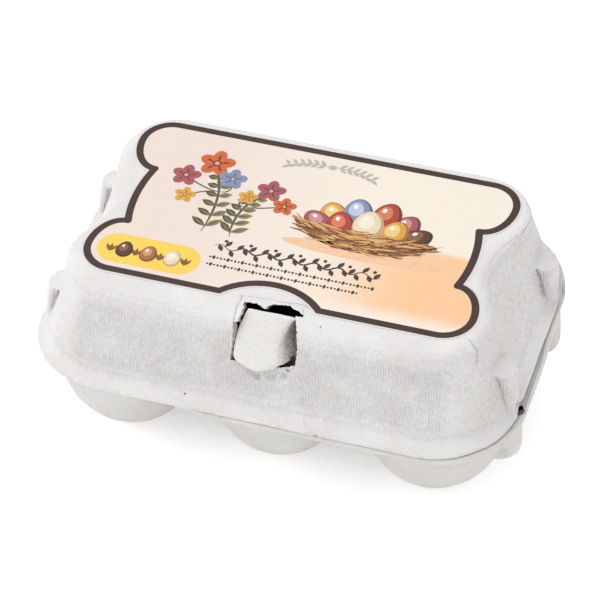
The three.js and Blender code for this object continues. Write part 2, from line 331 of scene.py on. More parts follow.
def thin_out(thing, triangles):
    """Fewer, uneven triangles where the surface is plain."""
    thing.data.calc_loop_triangles()
    now = len(thing.data.loop_triangles)
    if now > triangles:
        decimate = thing.modifiers.new("thin", "DECIMATE")
        decimate.ratio = triangles / now
        apply_modifiers(thing)
    thing.data.polygons.foreach_set("use_smooth", [True] * len(thing.data.polygons))


# Carton outlines


def waist_shape(y):
    t = np.minimum(1, np.abs(y) / WAIST_HALF_WIDTH)
    return 0.5 * (1 + np.cos(np.pi * t))


def outline(level):
    """One level seen from above: a rounded rectangle with a waist in its short ends."""
    z, half_x, front, rear, corner_front, corner_rear, waist = level
    corner_steps, end_steps, side_steps = 24, 48, 90
    points = []
    quarters = (
        (1, -front + corner_front, corner_front, -90),
        (1, rear - corner_rear, corner_rear, 0),
        (-1, rear - corner_rear, corner_rear, 90),
        (-1, -front + corner_front, corner_front, 180),
    )
    for number, (side, centre_y, radius, start) in enumerate(quarters):
        for i in range(corner_steps + 1):
            angle = math.radians(start + 90 * i / corner_steps)
            x = side * (half_x - radius) + radius * math.cos(angle)
            points.append((x, centre_y + radius * math.sin(angle)))
        next_side, next_y, next_radius, next_start = quarters[(number + 1) % 4]
        next_angle = math.radians(next_start)
        next_x = next_side * (half_x - next_radius) + next_radius * math.cos(next_angle)
        target = (next_x, next_y + next_radius * math.sin(next_angle))
        steps = end_steps if number % 2 == 0 else side_steps
        last = points[-1]
        for i in range(1, steps):
            points.append((mix(last[0], target[0], i / steps), mix(last[1], target[1], i / steps)))
    ring = np.array(points)
    ring[:, 0] -= np.sign(ring[:, 0]) * waist * waist_shape(ring[:, 1])
    return np.c_[ring, np.full(len(ring), z)]


def blend_levels(low, high, steps, across, up):
    levels = []
    for i in range(1, steps + 1):
        t = i / steps
        mixed = [mix(low[k], high[k], across(t)) for k in range(len(low))]
        mixed[0] = mix(low[0], high[0], up(t))
        levels.append(tuple(mixed))
    return levels


# Ways to go from nought to one


def quarter_sine(t):
    return math.sin(t * math.pi / 2)


def quarter_rise(t):
    return 1 - math.cos(t * math.pi / 2)


def straight(t):
    return t


# Lugs


def lug_ring(side, centre_y, reach, z):
    steps = 16
    nose = min(LUG_NOSE_DEPTH, reach - LUG_ROOT_X - 1)
    ring = [(side * LUG_ROOT_X, centre_y - side * LUG_HALF_WIDTH, z)]
    for i in range(steps + 1):
        angle = math.pi * (i / steps - 0.5)
        x = reach - nose + nose * math.cos(angle)
        ring.append((side * x, centre_y + side * LUG_HALF_WIDTH * math.sin(angle), z))
    ring.append((side * LUG_ROOT_X, centre_y + side * LUG_HALF_WIDTH, z))
    return ring


def lugs(name, profile, shift=0.0):
    """The four lugs with the same side profile, a list of reach and height from the lowest up."""
    made = []
    for side, centre_y in LUG_PLACES:
        rings = [lug_ring(side, centre_y, reach + side * shift, z) for reach, z in profile]
        made.append(loft_object(name, rings))
    return made


# Relief pressed or creased into the surface


def groove(points, path, width, depth):
    """How far each point is pushed in by a crease that follows path."""
    nearest = np.full(len(points), 1e9)
    for start, end in zip(path[:-1], path[1:]):
        start, end = np.array(start, float), np.array(end, float)
        along = end - start
        t = np.clip(((points - start) @ along) / (along @ along), 0, 1)
        away = np.linalg.norm(points - start - t[:, None] * along, axis=1)
        nearest = np.minimum(nearest, away)
    return depth * np.exp(-((nearest / width) ** 2))


def dent(points, centre, radius, depth):
    away = np.linalg.norm(points - np.array(centre, float), axis=1)
    return depth * np.exp(-((away / radius) ** 2))


# Creases of the lid as (path, width, depth); depths below nought are ridges
LID_CREASES = (
    (((-8.8, -43.9, 50.2), (-8.8, -42.2, 54.7), (-8.8, -40.9, 58.4)), 0.5, 0.3),
    (((-8.2, -38, 63.2), (-8.2, -33.1, 64.2), (-8.2, -30.4, 64.2)), 0.6, 0.3),
    (((-8.2, -30.4, 64.2), (-0.8, -29.7, 64.2), (12.4, -29.8, 64.2)), 0.6, 0.25),
    (((12.6, -31.4, 64.2), (12.8, -35.5, 64.1), (12.7, -38.5, 62.9), (12.6, -41, 58)), 0.4, 0.1),
    (((59.9, -29.5, 64.2), (62.3, -30.4, 63.3), (63.9, -30.6, 60.6), (64, -32, 57.9)), 0.45, 0.4),
    (((64, -32, 57.9), (63.6, -34, 55.5), (62.4, -36.4, 54.4)), 0.6, 0.3),
    (((61.2, -29.8, 64), (62.4, -31.9, 62.3), (63, -32.7, 59.1)), 0.6, -0.3),
    (((51.9, -39.3, 61.6), (57.5, -36.9, 61.7), (62.6, -33.1, 59.4)), 0.5, 0.16),
    (((46, -40.3, 60), (54, -38.8, 60.2), (60, -35.4, 59.4)), 0.4, 0.12),
    (((59.3, -9.7, 63.9), (58.4, -1.8, 63.2), (58.9, 5.3, 63.3), (60.8, 10.9, 63.5)), 0.5, 0.16),
    (((60.8, 10.9, 63.5), (64.6, 19.6, 63.1), (64.8, 27.5, 62.5)), 0.45, 0.3),
    (((63.9, -22, 62.8), (66.8, -19.8, 57), (68.3, -20.3, 52)), 1.2, 0.15),
    (((16.4, -49.8, 36.4), (18.4, -51.2, 35.9), (20.8, -53, 34.6)), 0.4, 0.35),
    (((14, -52.4, 35.2), (20.8, -53, 34.9)), 0.3, 0.3),
    (((17.8, -39.3, 62.4), (41.1, -38.1, 63.3), (50.3, -38.7, 62.8), (58.5, -35.9, 62.3)), 0.7, 0.12),
    (((-56.1, -36.4, 63.2), (-51.5, -38.3, 63), (-43.7, -39.2, 62.5), (-26.6, -39.4, 62.4)), 0.6, 0.12),
    (((-26.6, -39.4, 62.4), (-13.4, -37.7, 63.5), (-9, -37.5, 63.6)), 0.5, 0.12),
    (((-60, -36, 48), (-61.5, -34, 52), (-60.2, -33.4, 57.5)), 0.9, 0.15),
)

# Lines on a lug, as reach, distance from the lug's middle and height: the crease where a lid lug meets
# the wall, the edge of its shelf, and the fold at the foot of a base lug
LUG_CREASE = (
    (69.2, 4.8, 50.4), (70, 5, 48), (70.8, 5.1, 44.5), (71.6, 5, 41), (73, 4.7, 37.2),
)
LUG_EDGE = (
    (69.4, -4.7, 50.5), (72.6, -3.6, 50.1), (74.3, 0, 49.9), (72.6, 3.6, 50.1), (69.4, 4.7, 50.5),
)
BASE_LUG_FOLD = ((70.5, -LUG_HALF_WIDTH, 19.3), (74, -LUG_HALF_WIDTH, 20.8), (76.2, -3, 21.6))

# Width and depth of those lines
LUG_CREASE_SIZE = (0.36, 1.3)
LUG_EDGE_SIZE = (0.42, 0.42)
BASE_LUG_FOLD_SIZE = (0.45, 0.4)

# Cracks: how often one bends, how far it wanders, and how far its cutter stands out of the skin
CRACK_STEP = 0.6
CRACK_WANDER = 0.14
CRACK_LIFT = 0.25

# Fine cracks in the lid's skin as (path, width, depth)
LID_CRACKS = (
    (
        ((-8.0, -39.6, 62), (-8.1, -37.6, 63.6), (-8.2, -36, 64.1), (-8.1, -33.5, 64.2), (-8.2, -30.4, 64.2)),
        0.34, 0.6,
    ),
    (((-8.2, -30.4, 64.2), (-4, -30, 64.2), (-0.8, -29.7, 64.2), (2, -29.7, 64.2)), 0.26, 0.5),
    (((2, -29.7, 64.2), (4.8, -29.8, 64.2), (10.2, -29.3, 64.2), (12.4, -29.8, 64.2)), 0.26, 0.5),
    (((10.9, -30.9, 64.2), (11.9, -34.6, 64.1)), 0.3, 0.5),
    (((60.4, -29.4, 64), (62.3, -30.4, 63.3), (63.9, -30.6, 60.6), (64, -32, 57.9)), 0.34, 0.5),
    (((62.6, 12.6, 63.5), (64.6, 19.6, 63.1), (64.8, 27.5, 62.5)), 0.24, 0.4),
)

# Dark flecks in the lid's pulp, and painted shade over the hole at its right end, as (centre, radius)
FLECKS_AND_HOLE_SHADE = (
    ((17.9, -36.5, 64), 0.4), ((-38.4, -46.5, 43.1), 0.4), ((-21.5, -49.1, 36.9), 0.5),
    ((75.9, -26, 33.5), 2.0),
)

# Painted shade in the dents below the tab as (centre, radius)
DENT_SHADES = (
    ((0.2, -45.3, 46.6), 1.5), ((1.3, -45.4, 46.1), 0.9), ((5.3, -45, 47), 1.1), ((8.6, -44.7, 48), 1.3),
    ((9.6, -43.8, 50.6), 1.0), ((-2, -45, 47.5), 1.2),
)

# Dents of the lid as (centre, radius, depth)
LID_DENTS = (
    ((-2.4, -45, 47.6), 1.0, 0.8),
    ((-0.9, -45.3, 46.9), 1.1, 1.0),
    ((0.6, -45.4, 46.3), 1.3, 1.4),
    ((5.3, -45, 47), 1.2, 1.4),
    ((8.6, -44.7, 48), 1.2, 1.4),
    ((2.8, -45.3, 46.8), 0.8, -1.0),
    ((7, -44.9, 47.5), 0.6, -0.9),
    ((4, -45.8, 44.2), 4.5, 0.3),
    ((-29.6, -46, 44.7), 1.3, 0.35),
    ((-26.5, -45, 47.5), 1.1, 0.2),
    ((53.3, -36.7, 63.7), 2.5, 0.15),
    ((62, -36, 50), 9, 0.3),
    ((-40, -44, 50), 12, 0.3),
    ((30, -45, 48), 11, 0.25),
    ((-69.5, 16.7, 48), 1.6, 0.35),
    ((-70.8, 17, 43.5), 1.5, 0.3),
    ((-70, -29.9, 48.8), 1.7, 0.4),
    ((-71, -30.3, 44.5), 1.6, 0.35),
)

# Where the lid's mesh is finest: middle and reach of each place
FINE_PLACES = (
    ((2, -38, 54), (13, 11, 13)),
    ((61, -33, 59), (6, 6, 7)),
    ((62, 9, 62), (5, 20, 4)),
    ((71, -26.5, 44.5), (5, 6.5, 9)),
    ((71, 20, 44.5), (5, 6.5, 9)),
)


def slot_outline():
    """The torn edge of the latch slot with fine fibres."""
    rng = np.random.default_rng(11)
    corners = [np.array(corner) for corner in SLOT_EDGE]
    points = []
    for start, end in zip(corners, corners[1:] + corners[:1]):
        steps = max(1, round(np.linalg.norm(end - start) / SLOT_FIBRE))
        for i in range(steps):
            ragged = SLOT_TEAR * rng.uniform(-1, 1, 2)
            points.append(tuple(mix(start, end, i / steps) + ragged))
    return points


def slot_cutter():
    """A prism through the shell along the 45 degree slant; its left wall turns to the right."""
    half = math.sqrt(0.5)
    edge = slot_outline()
    rings = []
    for below, turned in ((22, 1), (2.8, 1), (0, 0), (-10, 0)):
        ring = []
        for x, up in edge:
            surface = SHOULDER_REACH - SHOULDER_FALL * ((up - SHOULDER_CREST) / SHOULDER_HALF_WIDTH) ** 2
            reach = surface - below
            slope = SLOT_SLOPE * turned * smooth((-5.8 - x) / 1.2) * smooth((18 - up) / 3)
            y = up * half + SLANT_Y - reach * half
            z = up * half - SLANT_Y + reach * half
            ring.append((x + float(slope), y, z))
        rings.append(ring)
    return loft_object("slot_cutter", rings)


def crack_cutter(tree, path, width, depth):
    """A thin wedge that follows a path over the surface."""
    corners = [Vector(corner) for corner in path]
    points = []
    for start, end in zip(corners, corners[1:]):
        steps = max(1, round((end - start).length / CRACK_STEP))
        points += [start.lerp(end, i / steps) for i in range(steps)]
    points.append(corners[-1])
    wander = noise(np.array(points), 1.4, 71) * CRACK_WANDER
    rings = []
    for i, point in enumerate(points):
        found, normal, _, _ = tree.find_nearest((point + Vector(SHIFT)) * MM)
        place = found / MM - Vector(SHIFT)
        along = points[min(i + 1, len(points) - 1)] - points[max(i - 1, 0)]
        across = normal.cross(along).normalized()
        thin = 0.35 if i in (0, len(points) - 1) else 1.0
        place = place + across * float(wander[i])
        half = across * (width / 2 * thin)
        rings.append([
            tuple(place - normal * depth * thin),
            tuple(place + normal * CRACK_LIFT + half * 1.6),
            tuple(place + normal * CRACK_LIFT - half * 1.6),
        ])
    cutter = loft_object("crack", rings)
    work = bmesh.new()
    work.from_mesh(cutter.data)
    if work.calc_volume(signed=True) < 0:
        bmesh.ops.reverse_faces(work, faces=work.faces)
        work.to_mesh(cutter.data)
    work.free()
    return cutter


def lid_hollow():
    """The space behind the slot; its walls are painted near-black shade."""
    left, right, back = -24, 28, -8
    rings = []
    for z, front in ((39, -48 + SHELL), (55, -42.2 + SHELL), (60.2, -40.3 + SHELL), (61.8, -37)):
        rings.append([(left, front, z), (right, front, z), (right, back, z), (left, back, z)])
    return loft_object("lid_hollow", rings)


def make_lid(*colours):
    """The lid with its torn slot and cracks; its colours are pulp, cut edge and a near-black painted shade
    for the hollow.
    """
    levels = [LID_RIM, LID_LIP]
    levels += blend_levels(LID_LIP, LID_FOOT, 10, quarter_sine, quarter_rise)
    levels += blend_levels(LID_FOOT, LID_WALL, 16, straight, straight)
    levels += blend_levels(LID_WALL, LID_FLAT, 14, quarter_rise, quarter_sine)
    body = loft_object("lid_shell", [outline(level) for level in levels])
    profile = (
        (LID_LUG_REACH, LID_LIP[0]),
        (LID_LUG_REACH, LID_LUG_SHELF_Z - 1.2),
        (LID_LUG_REACH - 0.7, LID_LUG_SHELF_Z + 0.1),
        (LID_LUG_TOP_REACH, LID_LUG_TOP_Z + 0.1),
    )
    lid = join([body, *lugs("lid_lug", profile)], "lid_skin")
    mould(lid, LID_VOXEL, 1)
    refine(lid, FINE_PLACES)
    points, normals = read_points(lid)
    points = relieve_lid(points, normals)
    write_points(lid, np.clip(points, LID_LOW, LID_HIGH))
    give_colours(lid, colours)
    tree = BVHTree.FromObject(lid, bpy.context.evaluated_depsgraph_get())
    cracks = [(crack_cutter(tree, *crack), 0) for crack in LID_CRACKS]
    for cutter, number in [(lid_hollow(), 2), (slot_cutter(), 1), *cracks]:
        give_colours(cutter, colours, number)
        cut(lid, cutter)
    lid.data.polygons.foreach_set("use_smooth", [face.material_index != 1 for face in lid.data.polygons])
    return lid


def on_lugs(line, turns=(1,)):
    """A line laid on each of the four lugs, mirrored across the lug for a turn of -1."""
    for side, centre_y in LUG_PLACES:
        for turn in turns:
            yield [(side * x, centre_y + turn * away, z) for x, away, z in line]


def lean_left_lugs(points, moved):
    """The left lugs lean in towards the top and end a little lower."""
    height = points[:, 2]
    for centre_y in LUG_ROWS_Y:
        across = smooth((7 - np.abs(points[:, 1] - centre_y)) / 2.5)
        on_lug = across * smooth((-67.5 - points[:, 0]) / 2.5)
        moved[:, 0] += on_lug * 1.5 * smooth((height - 37) / 13)
        moved[:, 2] -= on_lug * 1.1 * smooth((height - 44) / 5)


def relieve_lid(points, normals):
    """Waves, creases, dents and lumps of a pulp lid."""
    height = points[:, 2]
    near_rim = smooth((SEAM_Z + 6 - height) / 5)
    lumps = 0.16 * rough_noise(points, 14, 3, 2)
    lumps += 0.05 * rough_noise(points, 2.6, 7, 2) * (1 - 0.6 * near_rim)
    push = (lumps - 0.1) * (1 - 0.75 * smooth((height - LID_TOP_Z + 0.5) / 0.4))
    for path, width, depth in LID_CREASES:
        push -= groove(points, path, width, depth)
    for path in on_lugs(LUG_CREASE, (-1, 1)):
        push -= groove(points, path, *LUG_CREASE_SIZE) * (1 + 0.5 * noise(points, 0.9, 17))
    for path in on_lugs(LUG_EDGE):
        push += groove(points, path, *LUG_EDGE_SIZE)
    for centre, radius, depth in LID_DENTS:
        push -= dent(points, centre, radius, depth) * (1 + 0.4 * noise(points, 1.0, 18))
    moved = points + normals * push[:, None]
    lean_left_lugs(points, moved)
    bend_rim(points, normals, moved, near_rim)
    under_label = smooth((LID_TOP_Z - 0.5 - height) / 0.4)
    moved[:, 2] = mix(np.minimum(height, moved[:, 2]), moved[:, 2], under_label)
    return moved


def bend_rim(points, normals, moved, near_rim):
    """The rim's waves, its lift along the right end, the pit at the hole and its narrow rear right."""
    flat = points * (1, 1, 0)
    rim_wave = 0.06 * (1 + noise(flat, 16, 21)) + 0.03 * noise(flat, 4, 22)
    moved[:, 2] += near_rim * rim_wave
    along_end = smooth((points[:, 1] + 37) / 12) * smooth((27 - points[:, 1]) / 34)
    right_end = smooth((points[:, 0] - 66) / 8) * along_end
    moved[:, 2] += near_rim * right_end * 0.35
    moved -= normals * dent(points, GAP_HOLE, 2.0, 1.4)[:, None]
    rear_right = smooth((points[:, 0] - 60) / 8) * np.exp(-(((points[:, 1] - 28.5) / 5.5) ** 2))
    moved[:, 0] -= 1.3 * rear_right * smooth((42 - points[:, 2]) / 5)
    edge_wave = 0.2 * (1 - noise(flat, 22, 31)) * near_rim
    moved[:, 1] -= np.sign(points[:, 1]) * edge_wave * smooth((np.abs(points[:, 1]) - 40) / 8) * 0.6


def base_ring(inset, z):
    """One level of the base rim, drawn in by an inset; it sits towards +X and is shorter at the rear."""
    corners = (BASE_CORNER_FRONT - inset, BASE_CORNER_REAR - inset)
    ring = outline((z, BASE_HALF_LENGTH - inset, BASE_FRONT - inset, BASE_REAR - inset, *corners, 0))
    t = smooth((ring[:, 1] - BASE_NARROWING_FROM_Y) / (BASE_NARROWING_TO_Y - BASE_NARROWING_FROM_Y))
    ring[:, 0] *= 1 - t * BASE_REAR_NARROWING / BASE_HALF_LENGTH
    ring[:, 0] += BASE_SHIFT_X
    return ring


def cup(centre_x, centre_y):
    """One egg cup, from its flat foot up to the seam."""
    around, steps = 72, 26
    foot_angle = math.acos((CUP_FOOT_RADIUS / CUP_RADIUS_X) ** (CUP_FULLNESS / 2))
    rings = []
    for i in range(steps + 1):
        angle = mix(foot_angle, 0.04, i / steps)
        spread = math.cos(angle) ** (2 / CUP_FULLNESS)
        drop = math.sin(angle) ** (2 / CUP_FULLNESS)
        z = 0 if i == 0 else SEAM_Z - CUP_DEPTH * drop
        ring = []
        for turn in full_turn(around):
            x = centre_x + CUP_RADIUS_X * spread * math.cos(turn)
            ring.append((x, centre_y + CUP_RADIUS_Y * spread * math.sin(turn), z))
        rings.append(ring)
    return loft_object("cup", rings)


def hinge_fold():
    rings = []
    for x in (-HINGE_HALF_LENGTH, HINGE_HALF_LENGTH):
        ring = []
        for turn in full_turn(24):
            y = HALF_DEPTH - HINGE_RADIUS + HINGE_RADIUS * math.cos(turn)
            ring.append((x, y, SEAM_Z - HINGE_RADIUS + HINGE_RADIUS * math.sin(turn)))
        rings.append(ring)
    return loft_object("hinge", rings)


# The lip of the base rim, from inside the body out, up and in again: inset where it stands clear of the
# lid's edge, inset elsewhere, depth below the seam
LIP_PROFILE = (
    (2.0, 2.6, 3.1), (0.7, 0.7, 2.7), (0.2, 0.2, 2.3), (0, 0, 1.8), (0, 0, 0.8), (0.1, 0.1, 0.4),
    (0.3, 0.3, 0.15), (0.8, 0.8, 0.12), (1.1, 2.2, 0.3), (1.25, 2.8, 0.6), (1.3, 2.9, 1.2), (1.4, 2.9, 2.4),
)
GROOVE_DEPTH = 0.72
GAP_HOLE = (75.5, -25.2, 34.3)


def gap_opening(points):
    """One where the base's lip stands clear of the lid's edge, at the right end, and nought elsewhere."""
    along = smooth((points[:, 1] + 29) / 2.5) * smooth((12 - points[:, 1]) / 20)
    return along * smooth((points[:, 0] - 68) / 4)


def lip_ring(open_inset, closed_inset, depth):
    clear = base_ring(open_inset, SEAM_Z - depth)
    closed = base_ring(closed_inset, SEAM_Z - depth)
    return mix(closed, clear, gap_opening(clear)[:, None])


def gap_hole():
    """The pit beside the front right lug, between the lid's edge and the lip; its walls are painted
    near-black shade.
    """
    x, y, z = GAP_HOLE
    rings = []
    for drop in (-4.5, -3, -1.5, 0, 1):
        rings.append([
            (x + 0.8 * math.cos(turn), y + 1.9 * math.sin(turn), z + drop)
            for turn in np.linspace(0, 2 * math.pi, 24, endpoint=False)
        ])
    return loft_object("gap_hole", rings)


def make_base(*colours):
    """The rim, cups, lugs, hinge fold and lip in one; its colours are pulp and a near-black painted shade for
    the pit.
    """
    rim_bottom = SEAM_Z - BASE_RIM_THICKNESS
    profile = (
        (6, BASE_WEB_Z),
        (3.2, BASE_WEB_Z + 0.7),
        (1, rim_bottom),
        (0.5, SEAM_Z - GROOVE_DEPTH - 0.3),
        (0.7, SEAM_Z - GROOVE_DEPTH),
        (3.4, SEAM_Z - GROOVE_DEPTH),
    )
    solids = [loft_object("rim", [base_ring(inset, z) for inset, z in profile])]
    for column in (-1, 0, 1):
        for row in (-1, 1):
            solids.append(cup(column * CUP_PITCH_X, row * CUP_ROW_Y))
    lug_profile = (
        (BASE_LUG_REACH - 2.4, BASE_LUG_FOOT_Z),
        (BASE_LUG_REACH - 0.7, BASE_LUG_FOOT_Z + 1.3),
        (BASE_LUG_REACH, BASE_LUG_SHOULDER_Z),
        (BASE_LUG_REACH, rim_bottom + 1),
    )
    solids += lugs("base_lug", lug_profile, BASE_SHIFT_X)
    solids.append(hinge_fold())
    body = join(solids, "base_body")
    mould(body, BASE_VOXEL, 2)
    points, _ = read_points(body)
    on_top = smooth((points[:, 2] - SEAM_Z + GROOVE_DEPTH + 0.5) / 0.2)
    points[:, 2] += on_top * (1 - gap_opening(points)) * (GROOVE_DEPTH - 0.25)
    write_points(body, points)
    give_colours(body, colours)
    hole = gap_hole()
    give_colours(hole, colours, 1)
    cut(body, hole)
    numbers = [face.material_index for face in body.data.polygons]
    lip = loft_object("lip", [lip_ring(*level) for level in LIP_PROFILE])
    numbers += [0] * len(lip.data.polygons)
    base = join([body, lip], "base_skin")
    give_colours(base, colours)
    base.data.polygons.foreach_set("material_index", numbers)
    points, normals = read_points(base)
    points = relieve_base(points, normals)
    write_points(base, np.clip(points, BASE_LOW, BASE_HIGH))
    thin_out(base, 170000)
    return base


def relieve_base(points, normals):
    """Lumps, the rim's bends at the front left and rear right, and the folds beside the lugs."""
    height = points[:, 2]
    above_foot = smooth(height / 3)
    lumps = 0.22 * rough_noise(points, 15, 41, 2) + 0.05 * rough_noise(points, 2.8, 45, 2)
    moved = points + normals * ((lumps - 0.12) * above_foot)[:, None]
    rim = smooth((height - 27) / 3)
    front_left = rim * smooth((-42 - points[:, 1]) / 8) * smooth((-13 - points[:, 0]) / 16)
    moved[:, 1] += front_left * 2.2
    rear_right = smooth((points[:, 0] - 72) / 3) * np.exp(-(((points[:, 1] - 28) / 7) ** 2))
    outer = smooth((points[:, 0] + 0.35 * points[:, 1] - 82.5) / 3)
    moved[:, 2] -= rear_right * rim * smooth((height - SEAM_Z + 1.5) / 1.5) * (0.4 + 1.4 * outer)
    rear_lug = smooth((points[:, 1] - 10) / 4) * smooth((36 - points[:, 1]) / 4)
    on_lug = smooth((np.abs(points[:, 0]) - 71.5) / 1.5) * rear_lug
    moved[:, 2] -= on_lug * 1.4 * smooth((22 - height) / 5)
    for path in on_lugs(BASE_LUG_FOLD):
        moved -= normals * groove(points, path, *BASE_LUG_FOLD_SIZE)[:, None]
    return moved


# The latch tab


def between(table, z):
    heights, values = zip(*table)
    return float(np.interp(z, heights, values))


def round_corners(ring, times):
    """Cuts the corners of a closed ring, which ends as a soft curve."""
    for _ in range(times):
        cut_ring = []
        for i, point in enumerate(ring):
            after = ring[(i + 1) % len(ring)]
            cut_ring.append(tuple(mix(np.array(point), np.array(after), 0.25)))
            cut_ring.append(tuple(mix(np.array(point), np.array(after), 0.75)))
        ring = cut_ring
    return ring


def lid_wall_y(z):
    return -mix(LID_FOOT[2], LID_WALL[2], (z - LID_FOOT[0]) / (LID_WALL[0] - LID_FOOT[0]))


def tab_ring(z):
    """One level of the tab: a soft face, a ridge, and a side that turns back into the slot."""
    y = TAB_TOP_Y - (TAB_TOP_Z - z) * TAB_LEAN
    left, right = between(TAB_LEFT, z), between(TAB_RIGHT, z)
    crown = 0.35
    if z < TAB_FLOOR_Z:
        back = lid_wall_y(z) + 0.8
        right_side = [(right, y + 0.7), (right, mix(y, back, 0.6)), (right, back)]
    else:
        thickness = min(TAB_SIDE_DEPTH + TAB_SHEET, TAB_SHEET + 1.5 * (TAB_TOP_Z - z))
        back = y + thickness
        depth = max(0.3, thickness - TAB_SHEET)
        end_x = mix(right + 0.6, TAB_SIDE_X, depth / TAB_SIDE_DEPTH)
        half_way = mix(right + 0.6, end_x, 0.45)
        right_side = [(right + 0.5, y + 0.25), (half_way, y + 0.5 * depth), (end_x, y + depth)]
    ring = [(left + 0.2, back), (left, y + 0.9), (left + 0.5, y), (mix(left, right, 0.45), y - crown)]
    ring += [(right - 2.6, y - 0.25), *right_side, (right_side[-1][0], back)]
    return [(x, y, z) for x, y in round_corners(ring, 3)]


def shank_ring(z):
    """The part of the tab that runs on down behind the lid's wall."""
    front, back = lid_wall_y(z) + SHELL + 0.6, lid_wall_y(z) + SHELL + 2.6
    return [(2, front, z), (12.4, front + 0.6, z), (12.4, back, z), (2, back, z)]


def make_tab():
    nose = np.linspace(TAB_LEFT[0][0], TAB_FLOOR_Z - 0.05, 14)
    body = np.linspace(TAB_FLOOR_Z + 0.05, TAB_TOP_Z, 40)
    face = loft_object("tab_face", [tab_ring(z) for z in [*nose, *body]])
    shank = loft_object("tab_shank", [shank_ring(z) for z in (46.5, 48, 50, 52, 53)])
    tab = join([face, shank], "tab_skin")
    mould(tab, TAB_VOXEL, 3)
    points, normals = read_points(tab)
    lumps = 0.14 * noise(points, 5, 61) + 0.05 * rough_noise(points, 1.6, 62, 2)
    write_points(tab, points + normals * (lumps - 0.05)[:, None])
    thin_out(tab, 40000)
    return tab


# Label outline, measured at the middle of its printed border
LABEL_HALF_LENGTH = 60
LABEL_HALF_DEPTH = 33.03
LOBE_RADIUS = 9.1
CUSP_X, CUSP_Y = 51.8, 12.1
BULGE_X = 53.4
ARCH_HALF_WIDTH = 15.4
ARCH_APEX_Y = -26.3
LABEL_MARGIN = 1.8
BORDER_HALF_WIDTH = 1.15


def bulge_x(y, offset):
    rise = BULGE_X - CUSP_X
    radius = (CUSP_Y**2 + rise**2) / (2 * rise)
    return BULGE_X - radius + math.sqrt((radius + offset) ** 2 - y * y)


def lobe(offset):
    """From the long edge round a corner lobe to the cusp on the short end."""
    steps = 22
    centre_x, centre_y = LABEL_HALF_LENGTH - LOBE_RADIUS, LABEL_HALF_DEPTH - LOBE_RADIUS
    points = []
    for i in range(steps + 1):
        angle = math.pi / 2 * (1 - i / steps)
        radius = LOBE_RADIUS + offset
        points.append((centre_x + radius * math.cos(angle), centre_y + radius * math.sin(angle)))
    reach_x = LABEL_HALF_LENGTH - CUSP_X + offset
    reach_y = centre_y - CUSP_Y + offset
    for i in range(1, steps + 1):
        angle = math.pi / 2 * i / steps
        x = CUSP_X + reach_x * math.cos(angle)
        y = centre_y - reach_y * math.sin(angle)
        if x < bulge_x(y, offset):
            points.append((bulge_x(y, offset), y))
            return points
        points.append((x, y))
    for i in range(1, 9):
        angle = math.radians(mix(90, 194, i / 8))
        points.append((CUSP_X - offset * math.cos(angle), CUSP_Y - offset * math.sin(angle)))
    return points


def label_outline(offset):
    quarter = lobe(offset)
    cusp_y = quarter[-1][1]
    right_end = list(quarter)
    for i in range(1, 16):
        y = mix(cusp_y, -cusp_y, i / 16)
        right_end.append((bulge_x(y, offset), y))
    right_end += [(x, -y) for x, y in reversed(quarter)]
    left_end = [(-x, -y) for x, y in right_end]
    sagitta = ARCH_APEX_Y + LABEL_HALF_DEPTH
    radius = (ARCH_HALF_WIDTH**2 + sagitta**2) / (2 * sagitta)
    centre_y = ARCH_APEX_Y - radius
    reach = math.acos((-LABEL_HALF_DEPTH - offset - centre_y) / (radius - offset))
    arch = []
    for i in range(31):
        angle = mix(reach, -reach, i / 30)
        arch.append(((radius - offset) * math.sin(angle), centre_y + (radius - offset) * math.cos(angle)))
    return right_end + arch + left_end


# Printed shapes: thin closed plates, each laid on the one below

PAPER_TOP_Z = TOP_Z - 0.21
PAPER_SINK = 0.4
LAYER_STEP = 0.015


def plate_rings(shape, low, high):
    """The lower and upper outline of a flat shape in label coordinates, turned anticlockwise."""
    area = sum(a[0] * b[1] - b[0] * a[1] for a, b in zip(shape, shape[1:] + shape[:1]))
    shape = shape if area > 0 else shape[::-1]
    return [[(x, y + LABEL_CENTRE_Y, z) for x, y in shape] for z in (low, high)]


class Plates:
    """Collects flat shapes into one mesh with a colour for each."""

    def __init__(self):
        self.points = []
        self.faces = []
        self.colours = []

    def add(self, shape, layer, colour):
        """One filled shape; layer counts the sheets below it, and parts of one keep neighbours apart."""
        high = PAPER_TOP_Z + LAYER_STEP * (layer + 1)
        points, faces = loft(plate_rings(shape, high - LAYER_STEP, high))
        start = len(self.points)
        self.points += points
        self.faces += [[start + i for i in face] for face in faces]
        self.colours += [colour] * len(faces)

    def build(self, name, materials):
        thing = new_object(name, self.points, self.faces)
        order = list(materials)
        for key in order:
            thing.data.materials.append(materials[key])
        thing.data.polygons.foreach_set("material_index", [order.index(c) for c in self.colours])
        thing.data.update()
        return thing


def placed(points, x, y, tilt):
    """Points turned by tilt degrees, then moved to x and y."""
    cosine, sine = math.cos(math.radians(tilt)), math.sin(math.radians(tilt))
    return [(x + a * cosine - b * sine, y + a * sine + b * cosine) for a, b in points]


def ellipse(x, y, half_x, half_y, tilt=0.0, steps=28):
    return placed([(half_x * math.cos(a), half_y * math.sin(a)) for a in full_turn(steps)], x, y, tilt)


def dot(x, y, radius):
    return ellipse(x, y, radius, radius, 0, 12)


def egg_shape(x, y, size, tilt):
    """A plain egg, a little narrower at its upper end."""
    shape = []
    for angle in full_turn(32):
        across = size * math.cos(angle) * (1 - 0.14 * math.sin(angle))
        shape.append((across, 1.3 * size * math.sin(angle)))
    return placed(shape, x, y, tilt)


def leaf(x, y, length, width, tilt):
    steps = 9
    shape = []
    for side in (1, -1):
        for i in range(steps):
            t = i / steps if side > 0 else 1 - i / steps
            shape.append((t * length, side * width / 2 * math.sin(math.pi * t)))
    return placed(shape, x, y, tilt)


